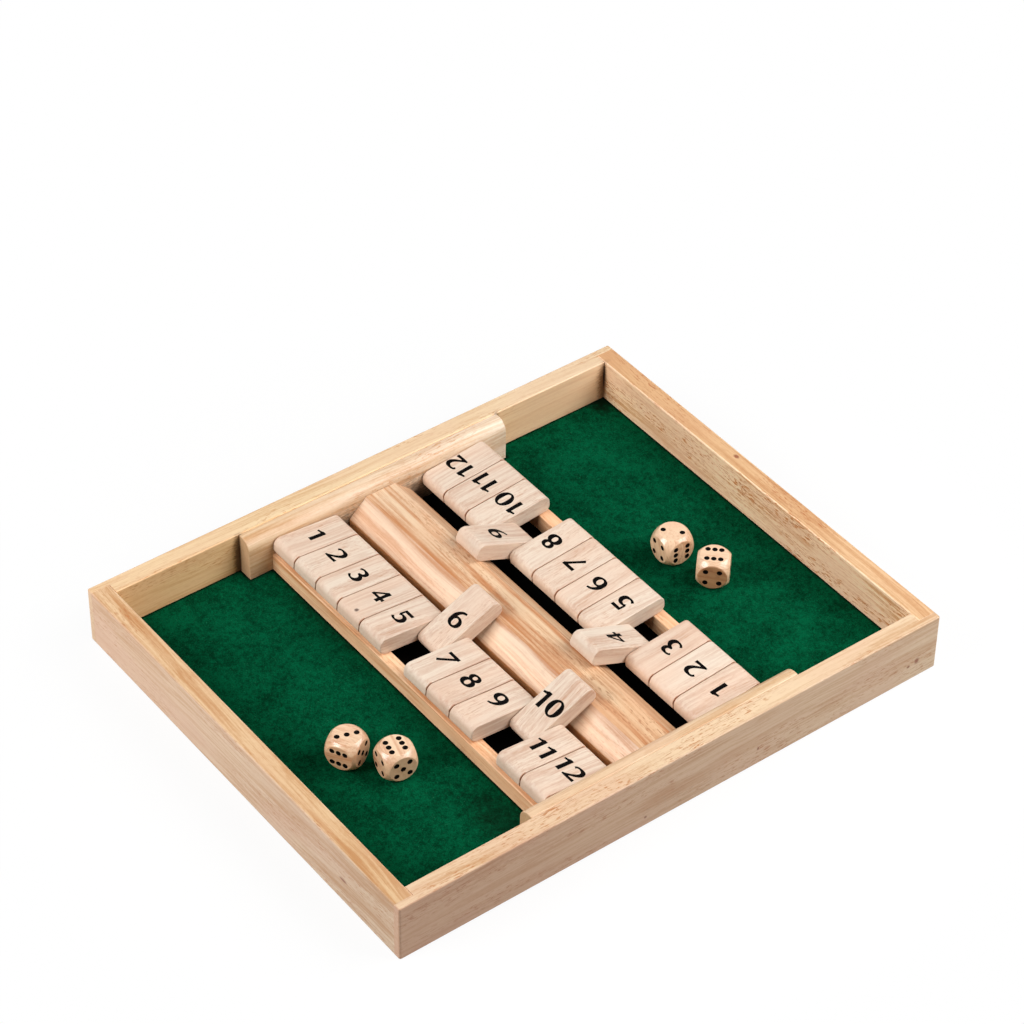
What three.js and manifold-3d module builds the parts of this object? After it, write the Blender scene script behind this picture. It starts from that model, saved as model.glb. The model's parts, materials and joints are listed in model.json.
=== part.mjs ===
// Two-player shut the box game: an open wooden tray that holds two rows of twelve hinged
// number tiles, a board between the rows that the turned tiles lean on, a felt-lined space
// for throwing dice in front of each player, and two pairs of dice.
//
// Millimetres. X runs along the tile rows, Y across the tray from the front player to the
// back player, and Z up. The origin is the middle of the tray's underside.

import * as THREE from 'three';
import { mergeVertices } from 'three/addons/utils/BufferGeometryUtils.js';
import Module from 'manifold-3d';

const wasm = await Module();
wasm.setup();

// Number tiles: reaches are measured from the rod to each end
const tilesPerRow = 12;
const tileWidth = 19.45;
const tileGap = 0.4;
const tileThickness = 10.2;
const tileShortReach = 9.7;
const tileLongReach = 33;
const tileEndRadius = 4;
const tileArris = 0.5;
const rowEndClearance = 0.3;
const restGap = 0.25;

// Steel rods that the tiles turn on: the height is that of the axis over the floor panel
const rodDiameter = 3;
const rodHeight = 13.9;
const rodChamfer = 0.4;
const rodSeatDepth = 6;
const rodSeatClearance = 0.15;
const rodEndClearance = 0.3;
const boreClearance = 0.25;

// Board between the rows, with sloping shoulders
const boardBottomWidth = 41.4;
const boardTopWidth = 19.2;
const boardHeight = 20.5;
const boardSideHeight = 10;
const boardEdgeRadius = 1.2;

// Rails under the tiles' outer ends
const boardToRod = 16.7;
const rodToRail = 25.8;
const railWidth = 7.6;
const railHeight = 10.9;
const railEdgeRadius = 0.5;

// Bearer blocks on the end walls, which hold the rods
const blockThickness = 9.6;
const blockHeight = 25.8;
const blockOverhang = 14.5;
const blockRounding = 7;
const blockArris = 0.6;

// Throwing space in front of each player
const throwWidth = 90.75;
const feltThickness = 0.8;
const feltEdgeClearance = 0.3;

// Tray walls, rabbeted at the corners and grooved for the floor panel
const wallThickness = 11.2;
const wallHeight = 35.5;
const wallArris = 0.8;
const wallCornerRadius = 1.2;
const tongueThickness = 4.4;
const floorLift = 5.5;
const floorThickness = 4;
const grooveDepth = 4;
const panelClearance = 0.4;

// Dice: the corner cut is what the rounding takes off each corner, along its diagonal
const dieEdge = 18;
const dieCornerCut = 3.8;
const pipDiameter = 2.4;
const pipDepth = 0.5;
const pipSpacing = 3.7;

// How far a cutter runs past what it cuts
const overrun = 1;

// Faces on a full turn or a rounded edge
const rodSides = 16;
const pipSides = 8;
const dieRoundingDetail = 4;
const softArcSteps = 2;
const smallArcSteps = 1;

// Half lengths along X, from the rows outwards
const tilePitch = tileWidth + tileGap;
const bayHalfLength = (tilesPerRow * tilePitch - tileGap) / 2 + rowEndClearance;
const innerHalfLength = bayHalfLength + blockThickness;
const outerHalfLength = innerHalfLength + wallThickness;

// Half widths along Y, from the board outwards
const rodY = boardBottomWidth / 2 + boardToRod;
const railInnerY = rodY + rodToRail;
const railOuterY = railInnerY + railWidth;
const blockHalfWidth = railOuterY + blockOverhang;
const innerHalfWidth = railOuterY + throwWidth;
const outerHalfWidth = innerHalfWidth + wallThickness;

// Heights
const floorTop = floorLift + floorThickness;
const feltTop = floorTop + feltThickness;
const rodZ = floorTop + rodHeight;
const railTop = floorTop + railHeight;
const boardTop = floorTop + boardHeight;
const blockTop = floorTop + blockHeight;

const axisX = new THREE.Vector3(1, 0, 0);
const axisY = new THREE.Vector3(0, 1, 0);
const axisZ = new THREE.Vector3(0, 0, 1);

// Turns that lay an extruded outline along X (outline in Y and Z) or along Y (outline in X and Z)
const alongX = new THREE.Matrix4().makeBasis(axisY, axisZ, axisX);
const alongY = new THREE.Matrix4().makeBasis(axisX, axisZ, axisY.clone().negate());

const woodMaterial = (color, roughness) => new THREE.MeshStandardMaterial({ color, roughness, metalness: 0 });
const wallWood = woodMaterial(0xe9cda3, 0.55);
const tileWood = woodMaterial(0xe8d2ba, 0.55);
const boardWood = woodMaterial(0xe4bb8a, 0.5);
const dieWood = woodMaterial(0xdfba8c, 0.3);
const panelWood = woodMaterial(0x2a221c, 0.8);
const greenFelt = woodMaterial(0x00482c, 1);
const rodSteel = new THREE.MeshStandardMaterial({ color: 0xb9bcc0, roughness: 0.35, metalness: 1 });

// Joining and cutting

// A closed geometry as a solid.
function toSolid(geometry) {
  const bare = geometry.clone();
  bare.deleteAttribute('normal');
  bare.deleteAttribute('uv');
  const merged = mergeVertices(bare);
  const vertProperties = new Float32Array(merged.attributes.position.array);
  const triVerts = new Uint32Array(merged.index.array);
  return new wasm.Manifold(new wasm.Mesh({ numProp: 3, vertProperties, triVerts }));
}

// A solid as a flat-shaded geometry.
function toGeometry(solid) {
  const { vertProperties, triVerts } = solid.getMesh();
  const shared = new THREE.BufferGeometry();
  shared.setAttribute('position', new THREE.BufferAttribute(vertProperties, 3));
  shared.setIndex(new THREE.BufferAttribute(triVerts, 1));
  const geometry = shared.toNonIndexed();
  geometry.computeVertexNormals();
  return geometry;
}

// A box between two opposite corners.
function boxBetween(low, high) {
  const size = new THREE.Vector3().subVectors(high, low);
  const geometry = new THREE.BoxGeometry(size.x, size.y, size.z);
  const centre = new THREE.Vector3().addVectors(low, high).divideScalar(2);
  return geometry.translate(centre.x, centre.y, centre.z);
}

// A many-sided cylinder along X whose flats lie at the given radius.
function cylinderAlongX(flatRadius, length, sides) {
  const cornerRadius = flatRadius / Math.cos(Math.PI / sides);
  return new THREE.CylinderGeometry(cornerRadius, cornerRadius, length, sides).rotateZ(Math.PI / 2);
}

// Outlines

// The arc that rounds a corner, where each corner is [x, y, radius].
function cornerArc(before, corner, after) {
  const [x, y, radius] = corner;
  const point = new THREE.Vector2(x, y);
  const toBefore = new THREE.Vector2(before[0], before[1]).sub(point).normalize();
  const toAfter = new THREE.Vector2(after[0], after[1]).sub(point).normalize();
  const halfAngle = Math.acos(toBefore.dot(toAfter)) / 2;
  const inward = toBefore.clone().add(toAfter).normalize();
  const centre = inward.multiplyScalar(radius / Math.sin(halfAngle)).add(point);
  const tangentLength = radius / Math.tan(halfAngle);
  const start = toBefore.clone().multiplyScalar(tangentLength).add(point).sub(centre).angle();
  const end = toAfter.clone().multiplyScalar(tangentLength).add(point).sub(centre).angle();
  const clockwise = toBefore.cross(toAfter) > 0;
  return { centre, radius, start, end, clockwise };
}

// A closed outline through corners [x, y, radius]. A corner without a radius stays sharp.
function outlineThrough(corners) {
  const outline = new THREE.Shape();
  corners.forEach((corner, index) => {
    const before = corners.at(index - 1);
    const after = corners[(index + 1) % corners.length];
    if (corner[2]) {
      const { centre, radius, start, end, clockwise } = cornerArc(before, corner, after);
      outline.absarc(centre.x, centre.y, radius, start, end, clockwise);
    } else if (index === 0) {
      outline.moveTo(corner[0], corner[1]);
    } else {
      outline.lineTo(corner[0], corner[1]);
    }
  });
  outline.closePath();
  return outline;
}

// The corners of a rectangle about the origin, all with one radius.
function rectangleCorners(halfWidth, halfHeight, radius) {
  return [
    [-halfWidth, -halfHeight, radius],
    [halfWidth, -halfHeight, radius],
    [halfWidth, halfHeight, radius],
    [-halfWidth, halfHeight, radius],
  ];
}

// A bar of the given outline, centred on its length, with an arris sanded on both ends.
function bar(outline, length, arcSteps, arris = 0) {
  const geometry = new THREE.ExtrudeGeometry(outline, {
    depth: length - 2 * arris,
    curveSegments: arcSteps,
    bevelEnabled: arris > 0,
    bevelThickness: arris,
    bevelSize: arris,
    bevelOffset: -arris,
    bevelSegments: 1,
  });
  return geometry.translate(0, 0, arris - length / 2);
}

// Sections of the pieces that run along X, seen from the end, for the back player's side

const boardCorners = [
  [-boardBottomWidth / 2, floorTop],
  [boardBottomWidth / 2, floorTop],
  [boardBottomWidth / 2, floorTop + boardSideHeight, boardEdgeRadius],
  [boardTopWidth / 2, boardTop, boardEdgeRadius],
  [-boardTopWidth / 2, boardTop, boardEdgeRadius],
  [-boardBottomWidth / 2, floorTop + boardSideHeight, boardEdgeRadius],
];

const railCorners = [
  [railInnerY, floorTop],
  [railOuterY, floorTop],
  [railOuterY, railTop, railEdgeRadius],
  [railInnerY, railTop, railEdgeRadius],
];

// Slope of a tile whose face lies on a rounded edge, seen from its rod towards that edge.
function slopeOnto(edge) {
  const across = Math.abs(edge.centre.x - rodY);
  const up = edge.centre.y - rodZ;
  const standOff = tileThickness / 2 + restGap + edge.radius;
  return Math.atan2(up, across) + Math.asin(standOff / Math.hypot(across, up));
}

const boardEdge = cornerArc(boardCorners[2], boardCorners[3], boardCorners[4]);
const railEdge = cornerArc(railCorners[2], railCorners[3], railCorners[0]);
const openAngle = slopeOnto(railEdge);
const shutAngle = Math.PI - slopeOnto(boardEdge);

// Tray walls and floor

// The four walls as one sanded ring, with the groove for the floor panel.
function wallRing() {
  const outline = outlineThrough(rectangleCorners(outerHalfLength, outerHalfWidth, wallCornerRadius));
  outline.holes.push(outlineThrough(rectangleCorners(innerHalfLength, innerHalfWidth)));
  const ring = bar(outline, wallHeight, smallArcSteps, wallArris).translate(0, 0, wallHeight / 2);
  const grooveReach = new THREE.Vector3(innerHalfLength + grooveDepth, innerHalfWidth + grooveDepth, 0);
  const grooveLow = grooveReach.clone().negate().setZ(floorLift);
  const grooveHigh = grooveReach.clone().setZ(floorTop);
  return toSolid(ring).subtract(toSolid(boxBetween(grooveLow, grooveHigh)));
}

// The side wall is let into rabbets, so a tongue of each end wall covers its ends.
function sideWallSpace() {
  const shoulder = outerHalfLength - tongueThickness;
  const low = new THREE.Vector3(-shoulder, innerHalfWidth, -overrun);
  const high = new THREE.Vector3(shoulder, outerHalfWidth + overrun, wallHeight + overrun);
  return toSolid(boxBetween(low, high));
}

function endWallSpace() {
  const low = new THREE.Vector3(innerHalfLength, -outerHalfWidth - overrun, -overrun);
  const high = new THREE.Vector3(outerHalfLength + overrun, outerHalfWidth + overrun, wallHeight + overrun);
  return toSolid(boxBetween(low, high));
}

function sideWallGeometry() {
  return toGeometry(wallRing().intersect(sideWallSpace()));
}

function endWallGeometry() {
  const backRabbet = sideWallSpace();
  const frontRabbet = backRabbet.mirror([0, 1, 0]);
  const whole = wallRing().intersect(endWallSpace());
  return toGeometry(whole.subtract(backRabbet).subtract(frontRabbet));
}

function floorPanelGeometry() {
  const reachX = innerHalfLength + grooveDepth - panelClearance;
  const reachY = innerHalfWidth + grooveDepth - panelClearance;
  return new THREE.BoxGeometry(2 * reachX, 2 * reachY, floorThickness);
}

// Felt for the back player's throwing space, cut round the bearer blocks.
function feltGeometry() {
  const bayX = bayHalfLength - feltEdgeClearance;
  const wallX = innerHalfLength - feltEdgeClearance;
  const railY = railOuterY + feltEdgeClearance;
  const blockY = blockHalfWidth + feltEdgeClearance;
  const wallY = innerHalfWidth - feltEdgeClearance;
  const outline = outlineThrough([
    [-bayX, railY],
    [bayX, railY],
    [bayX, blockY],
    [wallX, blockY],
    [wallX, wallY],
    [-wallX, wallY],
    [-wallX, blockY],
    [-bayX, blockY],
  ]);
  return bar(outline, feltThickness, smallArcSteps);
}

// Bearer block on the right end wall, with its top inner edge rounded and a seat for each rod.
function blockGeometry() {
  const outline = outlineThrough([
    [bayHalfLength, floorTop],
    [innerHalfLength, floorTop],
    [innerHalfLength, blockTop],
    [bayHalfLength, blockTop, Math.min(blockRounding, blockThickness - blockArris)],
  ]);
  const blank = bar(outline, 2 * blockHalfWidth, softArcSteps, blockArris).applyMatrix4(alongY);
  const seatLength = rodSeatDepth + overrun;
  const seatX = bayHalfLength + rodSeatDepth - seatLength / 2;
  const seat = cylinderAlongX(rodDiameter / 2 + rodSeatClearance, seatLength, rodSides);
  const backSeat = toSolid(seat.clone().translate(seatX, rodY, rodZ));
  const frontSeat = toSolid(seat.translate(seatX, -rodY, rodZ));
  return toGeometry(toSolid(blank).subtract(backSeat).subtract(frontSeat));
}

// Tile mechanism

function boardGeometry() {
  return bar(outlineThrough(boardCorners), 2 * bayHalfLength, smallArcSteps).applyMatrix4(alongX);
}

function railGeometry() {
  return bar(outlineThrough(railCorners), 2 * bayHalfLength, smallArcSteps).applyMatrix4(alongX);
}

// Rod with chamfered ends, turned about X.
function rodGeometry() {
  const halfLength = bayHalfLength + rodSeatDepth - rodEndClearance;
  const radius = rodDiameter / 2 / Math.cos(Math.PI / rodSides);
  const profile = [
    new THREE.Vector2(0, -halfLength),
    new THREE.Vector2(radius - rodChamfer, -halfLength),
    new THREE.Vector2(radius, rodChamfer - halfLength),
    new THREE.Vector2(radius, halfLength - rodChamfer),
    new THREE.Vector2(radius - rodChamfer, halfLength),
    new THREE.Vector2(0, halfLength),
  ];
  return new THREE.LatheGeometry(profile, rodSides).rotateZ(Math.PI / 2);
}

// Tile about its rod, lying level with its long end towards +Y.
function tileGeometry() {
  const top = tileThickness / 2;
  const endRadius = Math.min(tileEndRadius, top - tileArris);
  const outline = outlineThrough([
    [-tileShortReach, -top, endRadius],
    [tileLongReach, -top, endRadius],
    [tileLongReach, top, endRadius],
    [-tileShortReach, top, endRadius],
  ]);
  const blank = bar(outline, tileWidth, softArcSteps, tileArris).applyMatrix4(alongX);
  const bore = cylinderAlongX(rodDiameter / 2 + boreClearance, tileWidth + 2 * overrun, rodSides);
  return toGeometry(toSolid(blank).subtract(toSolid(bore)));
}

// Dice

// Each face with the way it looks and the way its rows of pips run. Opposite faces add up to seven.
const dieFaces = [
  { value: 1, normal: [1, 0, 0], rows: [0, 1, 0] },
  { value: 2, normal: [0, 1, 0], rows: [1, 0, 0] },
  { value: 3, normal: [0, 0, 1], rows: [0, 1, 0] },
  { value: 4, normal: [0, 0, -1], rows: [0, 1, 0] },
  { value: 5, normal: [0, -1, 0], rows: [1, 0, 0] },
  { value: 6, normal: [-1, 0, 0], rows: [0, 1, 0] },
];

// Places of the pips on each face, as shares of the pip spacing from the middle
const pipShares = {
  1: [[0, 0]],
  2: [[1, 1], [-1, -1]],
  3: [[1, 1], [0, 0], [-1, -1]],
  4: [[1, 1], [1, -1], [-1, 1], [-1, -1]],
  5: [[1, 1], [1, -1], [0, 0], [-1, 1], [-1, -1]],
  6: [[1, 1], [0, 1], [-1, 1], [1, -1], [0, -1], [-1, -1]],
};

// A drill point that opens to the pip's diameter where it leaves the face, pointing down.
function drillGeometry() {
  const widening = (pipDepth + overrun) / pipDepth;
  const drill = new THREE.ConeGeometry((pipDiameter / 2) * widening, pipDepth + overrun, pipSides);
  return drill.rotateX(-Math.PI / 2).translate(0, 0, (overrun - pipDepth) / 2);
}

// A cube turned down to a sphere at its corners, with drilled pips.
function dieGeometry() {
  const cube = toSolid(new THREE.BoxGeometry(dieEdge, dieEdge, dieEdge));
  const roundingRadius = Math.hypot(dieEdge, dieEdge, dieEdge) / 2 - dieCornerCut;
  const ball = toSolid(new THREE.IcosahedronGeometry(roundingRadius, dieRoundingDetail));
  let die = cube.intersect(ball);
  dieFaces.forEach(({ value, normal, rows }) => {
    const out = new THREE.Vector3(...normal);
    const along = new THREE.Vector3(...rows);
    const beside = new THREE.Vector3().crossVectors(out, along);
    const turn = new THREE.Matrix4().makeBasis(along, beside, out);
    pipShares[value].forEach(([alongShare, besideShare]) => {
      const place = new THREE.Matrix4().makeTranslation(
        alongShare * pipSpacing,
        besideShare * pipSpacing,
        dieEdge / 2,
      );
      die = die.subtract(toSolid(drillGeometry().applyMatrix4(place).applyMatrix4(turn)));
    });
  });
  return toGeometry(die);
}

// The turn that brings one value on top and another to the side, looking at an angle from X.
function dieTurn(upValue, sideValue, degrees) {
  const faceNormal = (value) => new THREE.Vector3(...dieFaces.find((face) => face.value === value).normal);
  const side = faceNormal(sideValue);
  const up = faceNormal(upValue);
  const across = new THREE.Vector3().crossVectors(up, side);
  const upright = new THREE.Matrix4().makeBasis(side, across, up).transpose();
  const heading = new THREE.Matrix4().makeRotationZ(THREE.MathUtils.degToRad(degrees));
  return heading.multiply(upright);
}

// Where each player's pair lies: the first die by shares of the bay's half length and of the
// throwing space, and the second die so many die edges away from it.
const thrownPairs = {
  front: {
    placeShares: [-0.19, 0.556],
    apartShares: [-1.146, -0.848],
    dice: [
      { up: 3, side: 5, degrees: 206.4 },
      { up: 6, side: 5, degrees: 170.5 },
    ],
  },
  back: {
    placeShares: [-0.003, 0.406],
    apartShares: [1.529, 0.346],
    dice: [
      { up: 2, side: 6, degrees: -4.7 },
      { up: 6, side: 5, degrees: 45.7 },
    ],
  },
};

// Assembly

function piece(name, geometry, material) {
  const mesh = new THREE.Mesh(geometry, material);
  mesh.name = name;
  return mesh;
}

const turnedAround = (object) => {
  object.rotation.z = Math.PI;
  return object;
};

function addDice(group, side, shape) {
  const { placeShares, apartShares, dice } = thrownPairs[side];
  dice.forEach(({ up, side: sideValue, degrees }, index) => {
    const die = piece(`die_${side}_${index + 1}`, shape, dieWood);
    die.quaternion.setFromRotationMatrix(dieTurn(up, sideValue, degrees));
    die.position.set(
      placeShares[0] * bayHalfLength + index * apartShares[0] * dieEdge,
      railOuterY + placeShares[1] * throwWidth + index * apartShares[1] * dieEdge,
      feltTop + restGap + dieEdge / 2,
    );
    group.add(die);
  });
}

// One player's half, as seen from the back player's seat: the row reads from +X to -X.
function playerSide(side, shutNumbers, shapes) {
  const group = new THREE.Group();
  const felt = piece(`felt_${side}`, shapes.felt, greenFelt);
  felt.position.z = floorTop + feltThickness / 2;
  const rod = piece(`rod_${side}`, shapes.rod, rodSteel);
  rod.position.set(0, rodY, rodZ);
  group.add(piece(`rail_${side}`, shapes.rail, boardWood), felt, rod);
  for (let number = 1; number <= tilesPerRow; number += 1) {
    const tile = piece(`tile_${side}_${number}`, shapes.tile, tileWood);
    tile.position.set(((tilesPerRow + 1) / 2 - number) * tilePitch, rodY, rodZ);
    tile.rotation.x = shutNumbers.includes(number) ? shutAngle : openAngle;
    group.add(tile);
  }
  addDice(group, side, shapes.die);
  return group;
}

const shapes = {
  felt: feltGeometry(),
  rail: railGeometry(),
  rod: rodGeometry(),
  tile: tileGeometry(),
  die: dieGeometry(),
};
const endWall = endWallGeometry();
const sideWall = sideWallGeometry();
const block = blockGeometry();
const floorPanel = piece('floor_panel', floorPanelGeometry(), panelWood);
floorPanel.position.z = floorLift + floorThickness / 2;

const shutTheBox = new THREE.Group();
shutTheBox.add(
  piece('end_wall_right', endWall, wallWood),
  turnedAround(piece('end_wall_left', endWall, wallWood)),
  piece('side_wall_back', sideWall, wallWood),
  turnedAround(piece('side_wall_front', sideWall, wallWood)),
  floorPanel,
  piece('bearer_block_right', block, wallWood),
  turnedAround(piece('bearer_block_left', block, wallWood)),
  piece('centre_board', boardGeometry(), boardWood),
  playerSide('back', [4, 9], shapes),
  turnedAround(playerSide('front', [6, 10], shapes)),
);

export default shutTheBox;
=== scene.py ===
import json
import math

import bpy
import numpy as np
from mathutils import Euler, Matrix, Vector
from mathutils.geometry import delaunay_2d_cdt


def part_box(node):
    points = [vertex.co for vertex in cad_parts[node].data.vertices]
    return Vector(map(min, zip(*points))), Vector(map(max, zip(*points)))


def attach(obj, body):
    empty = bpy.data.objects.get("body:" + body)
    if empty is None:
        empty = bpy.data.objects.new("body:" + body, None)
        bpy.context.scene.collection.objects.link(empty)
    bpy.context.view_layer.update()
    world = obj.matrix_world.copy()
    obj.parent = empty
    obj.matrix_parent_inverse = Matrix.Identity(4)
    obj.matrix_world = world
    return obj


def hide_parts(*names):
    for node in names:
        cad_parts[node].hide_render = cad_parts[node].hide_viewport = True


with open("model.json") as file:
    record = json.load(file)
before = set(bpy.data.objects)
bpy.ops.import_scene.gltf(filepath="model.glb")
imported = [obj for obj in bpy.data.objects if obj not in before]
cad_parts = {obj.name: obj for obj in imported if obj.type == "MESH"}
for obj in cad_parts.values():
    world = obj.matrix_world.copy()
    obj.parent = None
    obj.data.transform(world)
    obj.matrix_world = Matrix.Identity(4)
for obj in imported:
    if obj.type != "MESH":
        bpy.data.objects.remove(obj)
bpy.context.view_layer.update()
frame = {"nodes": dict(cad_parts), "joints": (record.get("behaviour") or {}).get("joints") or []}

# Two-player shut the box game. Metres: X along the tile rows, Y from the front player to the
# back player, Z up. The main sizes come from the frame, and those here are the ones that its
# boxes don't give.

# Tray
WALL_ARRIS = 0.0008
WALL_CORNER_RADIUS = 0.0012
SEAM_ARRIS = 0.00012
SEAM_SHARE = 0.12
PANEL_ARRIS = 0.0001

# Board, rails and bearer blocks
BOARD_TOP_WIDTH = 0.0192
BOARD_SIDE_HEIGHT = 0.010
BOARD_EDGE_RADIUS = 0.0012
RAIL_EDGE_RADIUS = 0.0006
BAR_END_ARRIS = 0.0003
BLOCK_ROUNDING = 0.007
BLOCK_ARRIS = 0.0006
BLOCK_SEAM_RADIUS = 0.0008

# Number tiles
TILES_IN_ROW = 12
TILE_END_RADIUS = 0.004
TILE_ARRIS = 0.0005
TILE_SLACK = 0.00005
# Painted shade where open tiles meet: the width of the band round their flat ends and its shade, and the
# share of the rim from which the painted shade in the groove at their rounded ends starts, and its shade
TILE_GAP_SHADE_BAND = 0.00035
TILE_GAP_PAINTED_SHADE = (0.5, 0.3, 0.2, 1.0)
TILE_GROOVE_SHARE = 0.45
TILE_GROOVE_PAINTED_SHADE = (0.7, 0.5, 0.4, 1.0)
BORE_DIAMETER = 0.0035

# Numbers on the tiles: the gap is that between two numerals, and a baseline is measured from the rod
NUMERAL_UNIT = 0.001
NUMERAL_GAP = 0.0023
NUMERAL_SPREAD = 0.3
BASELINE_TOWARDS_END = 0.0172
BASELINE_TOWARDS_ROD = 0.0065
INK_MARGIN = 0.0002

# Dice
DIE_CORNER_CUT = 0.0038
DIE_RIM_RADIUS = 0.0007
PIP_DIAMETER = 0.003
PIP_DEPTH = 0.0006
PIP_SPACING = 0.0037

# Felt, with the limits of its waves' headings, lengths and phases
FELT_THREAD = 0.002
FELT_RELIEF = 0.00006
FELT_WAVES = 6
WAVE_LIMITS = ((0.0, 3.1), (0.012, 0.05), (0.0, 6.3))

# Fineness of round surfaces
ARC_STEPS = 8
RIM_STEPS = 3
BORE_SIDES = 32
STROKE_STEPS = 6
RING_STEPS = 32
DIE_COLUMNS = 64
DIE_RIM_STEPS = 3
DIE_ROWS = 4
PIP_SIDES = 24
PIP_ROWS = 4

# Points in one cell of this size are one point, and the phase keeps round numbers off the cells' borders
WELD = 1e-7
WELD_PHASE = 0.387

# Scale at which flat faces are cut, how near two points there count as one, and the way of cutting that keeps
# the triangles inside the face
CUT_SCALE = 1000.0
CUT_NEARNESS = 1e-3
CUT_INSIDE = 1

# How far a stick's grain may leave its length, and the lowest and highest place in the wood to cut it from
WALL_SLOPE = 0.02
PANEL_SLOPE = 0.03
BAR_SLOPE = 0.01
TILE_SLOPE = 0.05
DIE_SLOPE = 0.1
STICK_LOW = (0.0, -0.03, -0.02)
STICK_HIGH = (9.0, 0.03, 0.02)

rng = np.random.default_rng(7)

X = np.array([1.0, 0.0, 0.0])
Y = np.array([0.0, 1.0, 0.0])
Z = np.array([0.0, 0.0, 1.0])

# Placing of a bar whose section is drawn in Y and Z and that runs along X
ALONG_X = (np.zeros(3), np.stack([Y, Z, X]))


# Skins: patches of surface that are welded into one piece

class Skin:
    """Patches of one piece: their points, faces, the normal at each face's corners and each face's finish."""

    def __init__(self):
        self.points = []
        self.corners = []
        self.normals = []
        self.sizes = []
        self.finishes = []
        self.count = 0

    def add(self, points, faces, normals, placing, finish=0):
        """Adds faces, rows of indices into points, with a normal for each corner of each face. placing is an
        origin and three axes, and a point goes to the origin plus its coordinates times the axes."""
        origin, axes = placing
        faces = np.asarray(faces)
        normals = np.broadcast_to(normals, (*faces.shape, 3))
        self.points.append(origin + points.reshape(-1, 3) @ axes)
        self.corners.append(faces.ravel() + self.count)
        self.normals.append(normals.reshape(-1, 3) @ axes)
        self.sizes.append(np.full(len(faces), faces.shape[1]))
        self.finishes.append(np.full(len(faces), finish))
        self.count += points.size // 3

    def piece(self, name, body, replaced, slot, finishes, lie, shades=None):
        """Welds the patches into a mesh object that rides on body and stands for the replaced CAD node. lie
        says how the wood's grain runs, and shades gives at each point the wood's tone, with the painted light
        and shade that some pieces carry, and the strength of its figure. Both are written to the points for
        the finishes to read."""
        points = np.concatenate(self.points)
        keys = np.floor(points / WELD + WELD_PHASE).astype(np.int64)
        first, index = np.unique(keys, axis=0, return_index=True, return_inverse=True)[1:]
        corners = index.ravel()[np.concatenate(self.corners)]
        sizes = np.concatenate(self.sizes)
        normals = unit(np.concatenate(self.normals))
        mesh = bpy.data.meshes.new(name)
        mesh.vertices.add(len(first))
        mesh.vertices.foreach_set("co", points[first].ravel())
        mesh.loops.add(len(corners))
        mesh.loops.foreach_set("vertex_index", corners)
        mesh.polygons.add(len(sizes))
        mesh.polygons.foreach_set("loop_start", np.cumsum(sizes) - sizes)
        mesh.polygons.foreach_set("material_index", np.concatenate(self.finishes))
        mesh.polygons.foreach_set("use_smooth", np.ones(len(sizes), dtype=bool))
        mesh.update(calc_edges=True)
        mesh.normals_split_custom_set(normals.tolist())
        endwise = np.bincount(corners, (normals @ lie[1]) ** 2) / np.bincount(corners)
        shade = shades(points[first]) if shades else np.ones((len(first), 4))
        write_grain(mesh, points[first], lie, endwise, shade)
        for finish in finishes:
            mesh.materials.append(finish)
        made = into_scene(name, mesh)
        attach(made, body)
        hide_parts(replaced)


def into_scene(name, data):
    made = bpy.data.objects.new(name, data)
    bpy.context.scene.collection.objects.link(made)
    return made


def unit(vectors):
    return vectors / np.linalg.norm(vectors, axis=-1, keepdims=True)


def write_attribute(mesh, name, kind, field, values):
    """Gives each point of a mesh a value that its finish reads by name."""
    attribute = mesh.attributes.new(name, kind, "POINT")
    attribute.data.foreach_set(field, values.astype(np.float32).ravel())


def write_grain(mesh, points, lie, endwise, shades):
    """Writes each point's place along, across and up through the stick that the piece was cut from, the
    piece's cast, how far the surface lies across the grain, and the shade: the wood's tone with any painted
    light and shade, and the strength of its figure."""
    origin, along, up, offset, cast = lie
    across = np.cross(up, along)
    places = (points - origin) @ np.stack([along, across, up], axis=1) + offset
    write_attribute(mesh, "grain", "FLOAT_VECTOR", "vector", places)
    write_attribute(mesh, "cast", "FLOAT", "value", np.full(len(points), cast))
    write_attribute(mesh, "endwise", "FLOAT", "value", endwise)
    write_attribute(mesh, "shade", "FLOAT_COLOR", "color", shades)


def lie_along(along, up, origin, slope, cast=None):
    """A new stick of wood: its grain leaves the along axis by a small seeded slope, and it is cut from a
    place of its own in the wood. cast is how pale it is, and is drawn where it isn't given. Gives the origin,
    the directions of the grain and of up, the place and the cast."""
    lean = rng.normal(0.0, slope, 2)
    across = np.cross(up, along)
    grain = unit(along + lean[0] * across + lean[1] * up)
    square = unit(up - (up @ grain) * grain)
    offset = rng.uniform(STICK_LOW, STICK_HIGH)
    drawn = rng.uniform(-1.0, 1.0)
    return origin, grain, square, offset, drawn if cast is None else cast


# Outlines and bars

def edge_normals(places):
    """Outward normal of the edge that leaves each corner of an anticlockwise outline."""
    along = unit(np.roll(places, -1, axis=0) - places)
    return np.stack([along[:, 1], -along[:, 0]], axis=1)


def corner_turns(corners):
    """For each point of an outline: its corner, the direction from that corner's centre, and whether the
    next step goes along the straight edge. A rounded corner has a fan of points and a sharp one has one."""
    after = edge_normals(corners[:, :2])
    before = np.roll(after, 1, axis=0)
    start = np.arctan2(before[:, 1], before[:, 0])
    crossed = before[:, 0] * after[:, 1] - before[:, 1] * after[:, 0]
    sweep = np.arctan2(crossed, (before * after).sum(axis=1))
    turn = start[:, None] + sweep[:, None] * np.linspace(0, 1, ARC_STEPS + 1)
    spokes = np.stack([np.cos(turn), np.sin(turn)], axis=2)
    step = np.arange(ARC_STEPS + 1)
    rounded = (corners[:, 2] > 0)[:, None]
    kept = rounded | (step == 0)
    owner = np.broadcast_to(np.arange(len(corners))[:, None], kept.shape)
    leaving = ~rounded | (step == ARC_STEPS)
    return owner[kept], spokes[kept], np.broadcast_to(leaving, kept.shape)[kept]


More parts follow.
